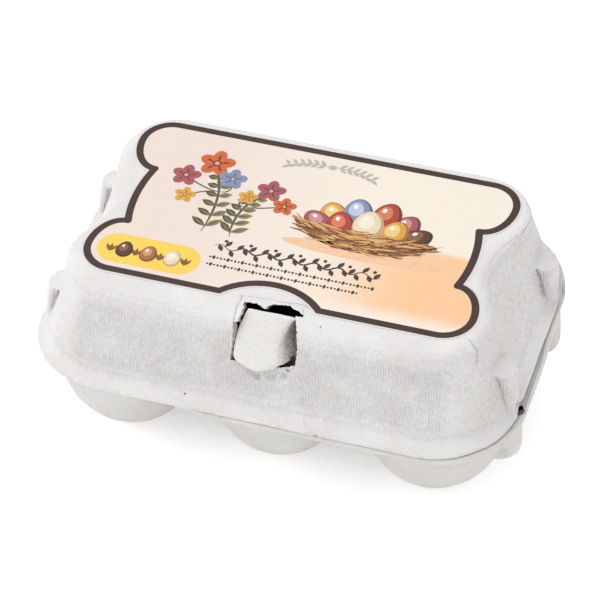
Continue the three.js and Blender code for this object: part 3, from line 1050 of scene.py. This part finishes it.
def stroke(path, width):
    """A line of even width with tapered ends."""
    path = [np.array(point, float) for point in path]
    left, right = [], []
    for i, point in enumerate(path):
        ahead = path[min(i + 1, len(path) - 1)] - path[max(i - 1, 0)]
        across = np.array((-ahead[1], ahead[0])) / np.linalg.norm(ahead)
        taper = 0.25 + 0.75 * min(1, 4 * min(i, len(path) - 1 - i) / len(path))
        left.append(tuple(point + across * width / 2 * taper))
        right.append(tuple(point - across * width / 2 * taper))
    return left + right[::-1]


def curve(start, bend, end, steps=14):
    start, bend, end = (np.array(point, float) for point in (start, bend, end))
    shares = [i / steps for i in range(steps + 1)]
    return [tuple((1 - t) ** 2 * start + 2 * t * (1 - t) * bend + t * t * end) for t in shares]


def stadium(x, y, half_length, radius):
    steps = 16
    shape = []
    for side, start in ((1, -90), (-1, 90)):
        centre_x = x + side * (half_length - radius)
        for i in range(steps + 1):
            angle = math.radians(start + 180 * i / steps)
            shape.append((centre_x + radius * math.cos(angle), y + radius * math.sin(angle)))
    return shape


# Eggs in the nest: place beside its middle, size, tilt and colour
NEST_EGGS = (
    (-11.5, 5.6, 4.4, 24, "ochre"), (11.2, 6, 4.3, -20, "rose"), (-4.6, 8.6, 4.6, 8, "blue"),
    (4.4, 9.2, 4.6, -6, "brick"), (-15.6, 1.8, 3.9, 46, "rose"), (15.8, 2.2, 3.9, -48, "umber"),
    (-8.4, 2.2, 4.3, 14, "brick"), (8.6, 2.6, 4.3, -14, "ochre"), (0, 4, 4.8, 2, "cream"),
)
TWIGS = 240
TWIG_COLOURS = ("twig_dark", "twig", "twig_light", "straw", "twig", "straw")

# Blossoms of the two sprigs: place beside the stem's tip, size, petals, heart
FLOWERS_LEFT = (
    (0, 1, 5.4, "orange", "brick_dark"), (-7.5, -6.5, 4.4, "rose", "rose_dark"),
    (7, -4.5, 4.2, "blue", "blue_dark"), (-5, -15, 3.2, "ochre", "ochre_dark"),
)
FLOWERS_RIGHT = (
    (0, 0.5, 4.4, "rose", "rose_dark"), (6, -5, 3.6, "orange", "brick_dark"),
    (-6, -4, 3, "ochre", "ochre_dark"),
)


def draw_egg(plates, x, y, size, tilt, colour, layer):
    """A plain egg with a soft light spot on its upper left."""
    plates.add(egg_shape(x, y, size, tilt), layer, colour + "_dark")
    plates.add(egg_shape(x - 0.1 * size, y + 0.12 * size, 0.86 * size, tilt), layer + 0.05, colour)
    light = egg_shape(x - 0.2 * size, y + 0.28 * size, 0.5 * size, tilt)
    plates.add(light, layer + 0.1, colour + "_light")
    shine = ellipse(x - 0.3 * size, y + 0.5 * size, 0.16 * size, 0.22 * size, tilt, 12)
    plates.add(shine, layer + 0.15, "white_spot")


def draw_nest(plates, x0, y0):
    """A twig nest full of plain eggs."""
    rng = np.random.default_rng(5)
    plates.add(ellipse(x0 + 1.5, y0 - 8.4, 25, 3), 2, "shade")
    plates.add(ellipse(x0, y0 - 0.6, 20, 7.6), 2, "twig")
    for number, (dx, dy, size, tilt, colour) in enumerate(NEST_EGGS):
        draw_egg(plates, x0 + dx, y0 + dy, size, tilt, colour, 4 + 0.2 * number)
    for number in range(TWIGS):
        t = rng.uniform(-1, 1)
        sink = rng.uniform(0.05, 1)
        cx = x0 + 19.6 * t
        cy = y0 - 7.8 * sink * math.sqrt(max(0.08, 1 - t * t)) + 1.4 * (1 - sink)
        half = rng.uniform(2.0, 5.6)
        tilt = 16 * t + rng.uniform(-20, 20)
        dx, dy = half * math.cos(math.radians(tilt)), half * math.sin(math.radians(tilt))
        path = curve((cx - dx, cy - dy), (cx, cy - rng.uniform(0.2, 1.4)), (cx + dx, cy + dy), 6)
        colour = TWIG_COLOURS[rng.integers(len(TWIG_COLOURS))]
        plates.add(stroke(path, rng.uniform(0.35, 0.75)), 6 + 0.02 * (number % 40), colour)


def draw_blossom(plates, x, y, size, colour, heart, layer):
    """Five round petals, each with a darker vein, round a heart."""
    for k in range(5):
        angle = 90 + 72 * k
        ux, uy = size * math.cos(math.radians(angle)), size * math.sin(math.radians(angle))
        petal = ellipse(x + 0.56 * ux, y + 0.56 * uy, 0.52 * size, 0.4 * size, angle, 16)
        plates.add(petal, layer + 0.03 * k, colour)
        plates.add(leaf(x + 0.2 * ux, y + 0.2 * uy, 0.55 * size, 0.14 * size, angle), layer + 0.15, heart)
    plates.add(dot(x, y, 0.26 * size), layer + 0.17, heart)
    plates.add(dot(x, y, 0.15 * size), layer + 0.19, "straw")


def draw_sprig(plates, x0, y0, height, lean, blossoms):
    """A branching flower stem."""
    top_x, top_y = x0 + lean, y0 + height
    path = curve((x0, y0), (x0 - 0.5 * lean, y0 + 0.6 * height), (top_x, top_y))
    plates.add(stroke(path, 0.8), 3, "stem")
    for i in range(1, 12, 2):
        x, y = path[i]
        for side, blade, vein in ((1, "leaf", "leaf_dark"), (-1, "leaf_dark", "leaf")):
            tilt = 90 - side * (50 + 3 * i) - lean
            low = 3.2 + 0.03 * i + (0.015 if side > 0 else 0)
            plates.add(leaf(x, y, 6.2 - 0.24 * i, 2.3, tilt), low, blade)
            plates.add(leaf(x, y, 5.2 - 0.24 * i, 0.5, tilt), low + 0.35, vein)
    joint = path[8]
    for number, (dx, dy, size, colour, heart) in enumerate(blossoms):
        twig = curve(joint, (joint[0] + dx * 0.7, joint[1]), (top_x + dx, top_y + dy), 8)
        plates.add(stroke(twig, 0.5), 3.05 + 0.03 * number, "stem")
        draw_blossom(plates, top_x + dx, top_y + dy, size, colour, heart, 4 + 0.2 * number)


def draw_vine(plates, low_x, high_x, middle_y):
    """A bold leafy band."""
    wave = [(mix(low_x, high_x, i / 80), middle_y + 0.9 * math.sin(i * 0.55)) for i in range(81)]
    plates.add(stroke(wave, 0.6), 3, "ink")
    for i in range(2, 79, 3):
        x, y = wave[i]
        side = 1 if i % 2 else -1
        plates.add(leaf(x, y, 3.1, 1.5, side * 58), 3.1, "ink")
        if i % 4 == 2:
            plates.add(dot(x + 1.7, y - side * 1.8, 0.6), 3, "ink")


def draw_marks(plates, start, end, y):
    """A row of small dots with a diamond at every fourth place."""
    count = round((end - start) / 1.12)
    for i in range(count + 1):
        x = mix(start, end, i / count)
        if i % 4 == 1:
            plates.add([(x - 0.6, y), (x, y - 0.95), (x + 0.6, y), (x, y + 0.95)], 3, "ink")
        else:
            plates.add(ellipse(x, y, 0.36, 0.5 if i % 2 else 0.36, 0, 10), 3, "ink")


def draw_garland(plates, x0, y0):
    """A faint garland of two leafy arms."""
    for side in (1, -1):
        path = curve((x0, y0), (x0 + side * 8, y0 + 0.8), (x0 + side * 15, y0 - 3.4))
        plates.add(stroke(path, 0.4), 3, "faint")
        for i in range(2, 14, 2):
            x, y = path[i]
            plates.add(leaf(x, y, 3, 1.2, 90 - side * (90 + 38)), 3.1, "faint")
            plates.add(leaf(x, y, 2.8, 1.1, 90 - side * (90 - 42)), 3.2, "faint")
    plates.add(ellipse(x0, y0 - 0.2, 1.3, 1.0), 3.3, "faint")


def draw_pill(plates, x0, y0):
    """The yellow field with three small eggs between sprigs."""
    plates.add(stadium(x0, y0, 16.2, 6.1), 2, "yellow")
    for dx, colour in ((-7.6, "umber"), (0, "milk"), (7.6, "cream")):
        draw_egg(plates, x0 + dx, y0 - 0.1, 2.6, 0, colour, 4)
    for dx in (-11.8, -3.8, 3.8, 11.8):
        for number, tilt in enumerate((60, 90, 120)):
            plates.add(leaf(x0 + dx, y0 - 2, 3.4, 1.05, tilt), 3 + 0.1 * number, "pill_ink")


def make_label():
    """The paper sheet, whose lower face is sunk in the lid, and the plates of its print."""
    rings = plate_rings(label_outline(LABEL_MARGIN), LID_TOP_Z - PAPER_SINK, PAPER_TOP_Z)
    plates = Plates()
    plates.add(label_outline(BORDER_HALF_WIDTH), 0, "border")
    plates.add(label_outline(-BORDER_HALF_WIDTH), 1, "field")
    draw_pill(plates, -40.9, -24)
    draw_nest(plates, 19, 1.5)
    draw_sprig(plates, -29, -10.5, 29, -5, FLOWERS_LEFT)
    draw_sprig(plates, -20, -10.5, 22, 6, FLOWERS_RIGHT)
    draw_vine(plates, -23, 29, -15.2)
    draw_marks(plates, -22.6, 28, -20.1)
    draw_marks(plates, -22.6, 24, -23.1)
    draw_garland(plates, 1, 27.4)
    return loft_object("label_paper", rings), plates


# Materials

# Roughness and specular level of each kind of surface
PULP_SHEEN = (0.93, 0.2)
TORN_SHEEN = (0.95, 0.1)
PAPER_SHEEN = (0.5, 0.35)
FLOOR_SHEEN = (0.9, 0.1)
HOLLOW_SHEEN = (1.0, 0.0)

# Brightness that the studio's light gives a white surface
STUDIO_LEVEL = 1.5
WEAVE_PITCH = 0.78
TAB_WEAVE_PITCH = 0.8
BUMP_HEIGHT = 0.1

# The crease beside a lug, along which shade is painted, in millimetres from the lug's middle
CREASE_TOP = Vector((69.2, 4.9, 50.3))
CREASE_FOOT = Vector((72.6, 4.8, 37.6))


def seen(red, green, blue):
    """The linear colour that the given 0 to 255 look needs under the studio's bright light."""
    channels = []
    for value in (red, green, blue):
        v = value / 255
        linear = v / 12.92 if v <= 0.04045 else ((v + 0.055) / 1.055) ** 2.4
        channels.append(linear / STUDIO_LEVEL)
    return tuple(channels)


def plain_material(name, roughness, specular):
    material = bpy.data.materials.new(name)
    material.use_nodes = True
    shader = material.node_tree.nodes["Principled BSDF"]
    shader.inputs["Roughness"].default_value = roughness
    shader.inputs["Specular IOR Level"].default_value = specular
    return material, shader


class Look:
    """A material whose look changes over the surface, by millimetres from below the label's middle."""

    def __init__(self, name, sheen):
        self.material, self.shader = plain_material(name, *sheen)
        self.nodes = self.material.node_tree.nodes
        self.links = self.material.node_tree.links
        coordinates = self.node("TexCoord").outputs["Object"]
        self.place = self.vector("MULTIPLY_ADD", coordinates, (1 / MM,) * 3, tuple(-SHIFT))
        self.x, self.y, self.z = self.axes(self.place)
        self.facing = self.axes(self.node("NewGeometry").outputs["True Normal"])

    def node(self, kind, operation=None):
        node = self.nodes.new("ShaderNode" + kind)
        if operation:
            node.operation = operation
        return node

    def feed(self, socket, value):
        if isinstance(value, bpy.types.NodeSocket):
            self.links.new(value, socket)
        else:
            socket.default_value = value

    def axes(self, vector):
        split = self.node("SeparateXYZ")
        self.feed(split.inputs[0], vector)
        return tuple(split.outputs)

    def calc(self, kind, *values):
        node = self.node("Math", kind)
        for socket, value in zip(node.inputs, values):
            self.feed(socket, value)
        return node.outputs[0]

    def multiply(self, *values):
        total = values[0]
        for value in values[1:]:
            total = self.calc("MULTIPLY", total, value)
        return total

    def vector(self, kind, *values):
        node = self.node("VectorMath", kind)
        for socket, value in zip(node.inputs, values):
            self.feed(socket, value)
        return node.outputs["Value" if kind in ("DISTANCE", "DOT_PRODUCT") else "Vector"]

    def scaled(self, vector, factor):
        node = self.node("VectorMath", "SCALE")
        self.feed(node.inputs[0], vector)
        self.feed(node.inputs["Scale"], factor)
        return node.outputs[0]

    def noise(self, cell, detail, roughness=0.55):
        node = self.node("TexNoise")
        for key, value in (("Scale", 1 / cell), ("Detail", detail), ("Roughness", roughness)):
            node.inputs[key].default_value = value
        self.links.new(self.place, node.inputs["Vector"])
        return node.outputs["Fac"]

    def ramp(self, value, low, high, first=0.0, last=1.0):
        """A soft step from first to last as the value goes from low to high."""
        node = self.node("MapRange")
        node.interpolation_type = "SMOOTHSTEP"
        ends = (("From Min", low), ("From Max", high), ("To Min", first), ("To Max", last))
        for key, end in ends:
            node.inputs[key].default_value = end
        self.links.new(value, node.inputs["Value"])
        return node.outputs[0]

    def mix(self, factor, first, second):
        """A colour between two, each given as a tuple or as an output."""
        node = self.node("Mix")
        node.data_type = "RGBA"
        self.links.new(factor, node.inputs["Factor"])
        ends = [socket for socket in node.inputs if socket.type == "RGBA"]
        for socket, value in zip(ends, (first, second)):
            self.feed(socket, (*value, 1) if isinstance(value, tuple) else value)
        return [socket for socket in node.outputs if socket.type == "RGBA"][0]

    def finish(self, colour, height=None, strength=0.0):
        """Puts the colour on the surface, with a relief where one is given."""
        self.links.new(colour, self.shader.inputs["Base Color"])
        if height is not None:
            bump = self.node("Bump")
            bump.inputs["Strength"].default_value = strength
            bump.inputs["Distance"].default_value = BUMP_HEIGHT * MM
            self.links.new(height, bump.inputs["Height"])
            self.links.new(bump.outputs[0], self.shader.inputs["Normal"])
        return self.material


def front_panel(look):
    """One on the flat of the front and rear walls, nought beyond their rounded edges."""
    front = look.ramp(look.calc("ABSOLUTE", look.facing[1]), 0.76, 0.88)
    low = look.ramp(look.z, SEAM_Z + 4.5, SEAM_Z + 6.5)
    high = look.ramp(look.z, 57.5, 60.5, 1.0, 0.0)
    return look.multiply(front, low, high)


def screen_imprint(look, pitch):
    """The wire screen's weave on the long walls: upright lines crossed by fainter level ones."""
    waves = 2 * math.pi / pitch
    wobble = look.multiply(look.noise(3.0, 3), 4.0)
    upright = look.calc("SINE", look.calc("MULTIPLY_ADD", look.x, waves, wobble))
    level = look.calc("SINE", look.calc("MULTIPLY_ADD", look.z, waves * 0.9, wobble))
    weave = look.calc("MULTIPLY_ADD", level, 0.35, upright)
    patch = look.ramp(look.noise(9.0, 4, 0.7), 0.32, 0.56, 0.3, 1.0)
    return look.multiply(weave, patch, front_panel(look))


def spots_mask(look, spots, hardness):
    """One inside each of some round spots, fading out towards their radius."""
    total = 0.0
    for centre, radius in spots:
        away = look.vector("DISTANCE", look.place, centre)
        total = look.calc("MAXIMUM", total, look.ramp(away, radius * hardness, radius, 1.0, 0.0))
    return total


def lug_crease_shade_mask(look):
    """One along the creases on both sides of every lid lug, where shade is painted, folded onto one by
    symmetry.
    """
    row_middle = (LUG_ROWS_Y[0] + LUG_ROWS_Y[1]) / 2
    from_row = look.calc("ABSOLUTE", look.calc("SUBTRACT", look.y, row_middle))
    from_lug = look.calc("ABSOLUTE", look.calc("SUBTRACT", from_row, LUG_ROWS_Y[1] - row_middle))
    folded = look.node("CombineXYZ")
    for socket, value in zip(folded.inputs, (look.calc("ABSOLUTE", look.x), from_lug, look.z)):
        look.feed(socket, value)
    along = CREASE_FOOT - CREASE_TOP
    offset = look.vector("SUBTRACT", folded.outputs[0], CREASE_TOP)
    share = look.vector("DOT_PRODUCT", offset, along / along.length_squared)
    share = look.calc("MINIMUM", look.calc("MAXIMUM", share, 0.0), 1.0)
    away = look.vector("DISTANCE", offset, look.scaled(along, share))
    return look.ramp(away, 0.15, 0.7, 1.0, 0.0)


def pulp_colour(look, light, dark, weave, peel, crease_shade):
    """Clouds, fibres and dark specks, with painted shade: darker hollows in the relief, warm blotches on
    faces turned to the right such as the right end, the shade over the hole, and darkening in the dents below
    the tab and along the lug creases.
    """
    fleck = look.noise(0.9, 3, 0.7)
    tone = look.calc("MULTIPLY_ADD", fleck, 0.45, look.multiply(look.noise(16.0, 4), 0.75))
    colour = look.mix(look.ramp(tone, 0.38, 0.82), dark, light)
    # Painted shade: the weave's and grain's hollows are darkened, and the flat front and rear panels a little
    # overall
    pit_shade = look.calc("MULTIPLY_ADD", weave, 0.07, look.calc("MULTIPLY_ADD", peel, 0.26, 1.0))
    panel_shade = look.calc("MULTIPLY_ADD", front_panel(look), -0.035, 1.0)
    colour = look.scaled(colour, look.multiply(pit_shade, panel_shade))
    # Painted shade: warm, darker blotches on faces turned to the right, away from the main lamps
    right = look.ramp(look.facing[0], 0.3, 0.75)
    shade_blotches = look.ramp(look.noise(1.4, 4, 0.75), 0.46, 0.72)
    area = look.ramp(look.noise(14.0, 2), 0.4, 0.65, 0.2, 1.0)
    colour = look.mix(look.multiply(right, shade_blotches, area, 0.6), colour, seen(200, 184, 176))
    speck = look.ramp(look.noise(0.55, 1, 0.4), 0.765, 0.8)
    sparse = look.ramp(look.noise(5.0, 2), 0.54, 0.62)
    # Dark flecks, together with the painted shade over the hole at the right end
    flecks_and_shade = look.calc("MAXIMUM", look.multiply(speck, sparse, 0.8), spots_mask(look, FLECKS_AND_HOLE_SHADE, 0.4))
    colour = look.mix(flecks_and_shade, colour, (0.1, 0.08, 0.08))
    # Painted shade in the dents below the tab and along the lug creases, broken up by the fleck noise
    dent_and_crease_shade = look.calc("MAXIMUM", spots_mask(look, DENT_SHADES, 0.1), crease_shade)
    dent_and_crease_shade = look.multiply(dent_and_crease_shade, look.ramp(fleck, 0.35, 0.56, 0.1, 1.0))
    return look.mix(dent_and_crease_shade, colour, seen(124, 118, 113))


def pulp_material(name, light, dark, imprint, grain):
    """Matt pulp with the screen's weave, fibres, and a coarser grain on front and ends."""
    look = Look(name, PULP_SHEEN)
    facing_x, facing_y, _ = look.facing
    sides = look.calc("MAXIMUM", look.calc("ABSOLUTE", facing_x), look.multiply(facing_y, -0.75))
    coarse = look.ramp(sides, 0.3, 0.75, 0.4, 1.6)
    weave = look.multiply(screen_imprint(look, WEAVE_PITCH), imprint)
    peel = look.multiply(look.calc("SUBTRACT", look.noise(1.0, 3, 0.65), 0.5), coarse, grain)
    # Painted shade along the lug creases
    crease_shade = look.multiply(lug_crease_shade_mask(look), 0.8)
    colour = pulp_colour(look, light, dark, weave, peel, crease_shade)
    fibres = look.multiply(look.noise(0.45, 4, 0.7), coarse, grain)
    lumps = look.multiply(look.noise(1.9, 3, 0.6), grain * 1.4)
    height = look.calc("ADD", look.calc("ADD", weave, fibres), lumps)
    return look.finish(colour, look.calc("MULTIPLY_ADD", peel, 1.4, height), 0.9)


def tab_material():
    """Smoother pulp, rougher on the side that turns into the slot; painted shade darkens that side, more
    deeply in, and the part behind the wall.
    """
    look = Look("tab_pulp", PULP_SHEEN)
    fleck = look.noise(0.8, 3, 0.7)
    # Painted shade: faces turned to the right, into the slot, take the darker side colours
    side = look.ramp(look.facing[0], 0.08, 0.8)
    wall_y = look.calc("MULTIPLY_ADD", look.z, WALL_SLOPE, LID_FOOT[0] * -WALL_SLOPE - LID_FOOT[2])
    behind = look.calc("SUBTRACT", look.y, wall_y)
    face = look.mix(look.ramp(fleck, 0.35, 0.7), seen(232, 229, 226), seen(243, 241, 239))
    mottled = look.ramp(fleck, 0.3, 0.7)
    # Painted shade on that side, pale near the ridge and darker further behind the wall
    near = look.mix(mottled, seen(186, 180, 176), seen(228, 225, 222))
    far = look.mix(mottled, seen(112, 105, 101), seen(176, 169, 165))
    colour = look.mix(side, face, look.mix(look.ramp(behind, -1.0, 5.5), near, far))
    # Painted shade: the part behind the lid's wall is dark brown
    shank = look.multiply(look.ramp(behind, 1.8, 2.5), look.ramp(look.z, 52.6, 53.4, 1.0, 0.0))
    grain = look.multiply(fleck, look.ramp(side, 0, 1, 1.0, 4.0))
    height = look.calc("MULTIPLY_ADD", screen_imprint(look, TAB_WEAVE_PITCH), 0.3, grain)
    return look.finish(look.mix(shank, colour, seen(96, 80, 72)), height, 0.7)


def cut_edge_material():
    """The torn thickness of the shell: pale pulp, browner on the slot's left side."""
    look = Look("cut_edge", TORN_SHEEN)
    left = look.ramp(look.x, -7.4, -5.5, 1.0, 0.0)
    low = look.ramp(look.z, 58, 62, 1.0, 0.0)
    tan = look.multiply(left, low, look.ramp(look.noise(1.1, 3), 0.35, 0.6))
    return look.finish(look.mix(tan, seen(214, 211, 208), seen(176, 148, 122)))


def painted_shade_material():
    # Near-black painted shade for the hollow behind the slot and the pit at the right end
    material, shader = plain_material("inside_shade", *HOLLOW_SHEEN)
    shader.inputs["Base Color"].default_value = (0.004, 0.003, 0.003, 1)
    return material


def ink_material(name, colour, variation=0.08, cell=1.2):
    """A printed colour with the faint unevenness of ink on paper."""
    look = Look(name, PAPER_SHEEN)
    darker = tuple(c * (1 - 2 * variation) for c in colour)
    lighter = tuple(min(1, c * (1 + variation)) for c in colour)
    return look.finish(look.mix(look.noise(cell, 3), darker, lighter), look.noise(7.0, 3), 0.25)


def field_material():
    """The label's ground: pinkish cream on the left, warm cream at the rear, a peach wash at right."""
    look = Look("label_field", PAPER_SHEEN)
    drift = look.calc("MULTIPLY_ADD", look.noise(14.0, 3), 10.0, -5.0)
    soft_x = look.calc("ADD", look.x, drift)
    soft_y = look.calc("MULTIPLY_ADD", drift, 0.35, look.y)
    ground = look.mix(look.ramp(soft_x, -45, 30), seen(239, 223, 213), seen(248, 237, 222))
    right = look.ramp(soft_x, 2, 40)
    below = look.ramp(soft_y, LABEL_CENTRE_Y - 2.5, LABEL_CENTRE_Y + 1.0, 1.0, 0.0)
    above = look.ramp(soft_y, LABEL_CENTRE_Y - 32, LABEL_CENTRE_Y - 25)
    colour = look.mix(look.multiply(right, below, above), ground, seen(252, 203, 157))
    return look.finish(colour, look.noise(7.0, 3), 0.25)


# Printed colours as they look, from 0 to 255
PLAIN_INKS = {
    "border": (62, 38, 31), "yellow": (255, 217, 92), "shade": (250, 205, 165), "straw": (226, 180, 112),
    "white_spot": (254, 250, 240), "orange": (214, 104, 52), "stem": (98, 84, 56), "leaf": (142, 132, 84),
    "leaf_dark": (92, 84, 56), "ink": (66, 48, 42), "pill_ink": (136, 92, 30), "faint": (190, 188, 180),
}

# Inks with a dark and a light shade: dark, plain, light
SHADED_INKS = {
    "twig": ((104, 60, 36), (150, 92, 50), (206, 142, 82)),
    "ochre": ((176, 116, 44), (226, 168, 70), (246, 212, 134)),
    "rose": ((122, 56, 66), (172, 88, 96), (216, 146, 146)),
    "blue": ((92, 104, 140), (136, 148, 184), (196, 206, 228)),
    "brick": ((128, 40, 30), (180, 66, 44), (226, 126, 92)),
    "cream": ((204, 172, 128), (240, 222, 190), (252, 240, 216)),
    "umber": ((62, 36, 26), (92, 56, 38), (140, 96, 66)),
    "milk": ((134, 78, 42), (176, 112, 62), (216, 160, 108)),
}


def print_materials():
    inks = dict(PLAIN_INKS)
    for name, shades in SHADED_INKS.items():
        for ending, colour in zip(("_dark", "", "_light"), shades):
            inks[name + ending] = colour
    materials = {name: ink_material("print_" + name, seen(*colour)) for name, colour in inks.items()}
    return {"field": field_material(), **materials}


# Stage: a white table that is lit a little from below

FLOOR_SIZE = 4.0
FLOOR_WHITE = 0.93
FLOOR_GLOW = 0.3
WORLD_LIGHT = 0.96

# Lamps: name, place, size in metres and power in watts; all point at the carton's middle
LAMPS = (
    ("overhead", (-0.35, 0.1, 1.3), 1.2, 9),
    ("left", (-1.1, -0.5, 0.7), 0.9, 4),
    ("right", (1.0, -0.7, 0.7), 0.7, 1.5),
)
LAMP_TARGET = Vector((0, 0, 0.04))


def link(name, data):
    thing = bpy.data.objects.new(name, data)
    bpy.context.scene.collection.objects.link(thing)
    return thing


def make_floor():
    half = FLOOR_SIZE / 2
    mesh = bpy.data.meshes.new("floor")
    corners = [(-half, -half, 0), (half, -half, 0), (half, half, 0), (-half, half, 0)]
    mesh.from_pydata(corners, [], [(0, 1, 2, 3)])
    material, shader = plain_material("floor_white", *FLOOR_SHEEN)
    shader.inputs["Base Color"].default_value = (FLOOR_WHITE, FLOOR_WHITE, FLOOR_WHITE, 1)
    shader.inputs["Emission Color"].default_value = (1, 1, 1, 1)
    shader.inputs["Emission Strength"].default_value = FLOOR_GLOW
    mesh.materials.append(material)
    link("floor", mesh)


def make_light():
    world = bpy.data.worlds.new("studio")
    world.use_nodes = True
    background = world.node_tree.nodes["Background"]
    background.inputs["Color"].default_value = (1, 1, 1, 1)
    background.inputs["Strength"].default_value = WORLD_LIGHT
    bpy.context.scene.world = world
    for name, place, size, power in LAMPS:
        light = bpy.data.lights.new(name, "AREA")
        light.shape = "DISK"
        light.size = size
        light.energy = power
        lamp = link(name, light)
        lamp.location = place
        lamp.rotation_euler = (LAMP_TARGET - Vector(place)).to_track_quat("-Z", "Y").to_euler()


# The photo's camera, in the label's frame: turned and tilted round the label's centre
CAMERA_AZIMUTH = 19.87
CAMERA_ELEVATION = 45.0
CAMERA_ROLL = -2.87
CAMERA_DISTANCE = 899.6
CAMERA_SHIFT_X = -0.83
CAMERA_SHIFT_Y = -22.47
FOCAL_PIXELS = 2981.6
FRAME_PIXELS = 600
SENSOR_MM = 36.0


def make_camera():
    turn, tilt, roll = (math.radians(a) for a in (CAMERA_AZIMUTH, CAMERA_ELEVATION, CAMERA_ROLL))
    back = Vector((math.sin(turn) * math.cos(tilt), -math.cos(turn) * math.cos(tilt), math.sin(tilt)))
    level = Vector((math.cos(turn), math.sin(turn), 0))
    upright = back.cross(level)
    right = math.cos(roll) * level + math.sin(roll) * upright
    up = -math.sin(roll) * level + math.cos(roll) * upright
    centre = Vector((SHIFT[0], LABEL_CENTRE_Y, TOP_Z))
    place = centre + CAMERA_SHIFT_X * right + CAMERA_SHIFT_Y * up + CAMERA_DISTANCE * back
    data = bpy.data.cameras.new("camera")
    data.sensor_width = SENSOR_MM
    data.lens = FOCAL_PIXELS / FRAME_PIXELS * SENSOR_MM
    data.clip_start = 0.01
    camera = link("camera", data)
    turning = Matrix((right, up, back)).transposed().to_4x4()
    camera.matrix_world = Matrix.Translation(place * MM) @ turning
    bpy.context.scene.camera = camera


def dress(piece, node):
    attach(piece, "root")
    if node:
        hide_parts(node)


def build():
    make_camera()
    make_light()
    make_floor()
    bpy.context.scene.view_settings.view_transform = "Standard"
    # inside holds the near-black painted shade for the lid's hollow and the base's pit
    inside = painted_shade_material()
    lid_pulp = pulp_material("pulp", seen(241, 239, 238), seen(228, 225, 223), 1.1, 1.0)
    # The base takes the lid's pulp a little darker: painted shade on the lower part of the carton
    shaded_base_pulp = pulp_material("shaded_base_pulp", seen(231, 229, 227), seen(218, 215, 212), 0.0, 0.35)
    dress(make_lid(lid_pulp, cut_edge_material(), inside), "lid")
    dress(make_base(shaded_base_pulp, inside), "base_tray")
    tab = make_tab()
    tab.data.materials.append(tab_material())
    dress(tab, "latch_tab")
    paper, plates = make_label()
    paper.data.materials.append(ink_material("label_paper", seen(228, 225, 223), 0.02, 6.0))
    dress(paper, "label")
    dress(plates.build("label_print", print_materials()), None)


build()
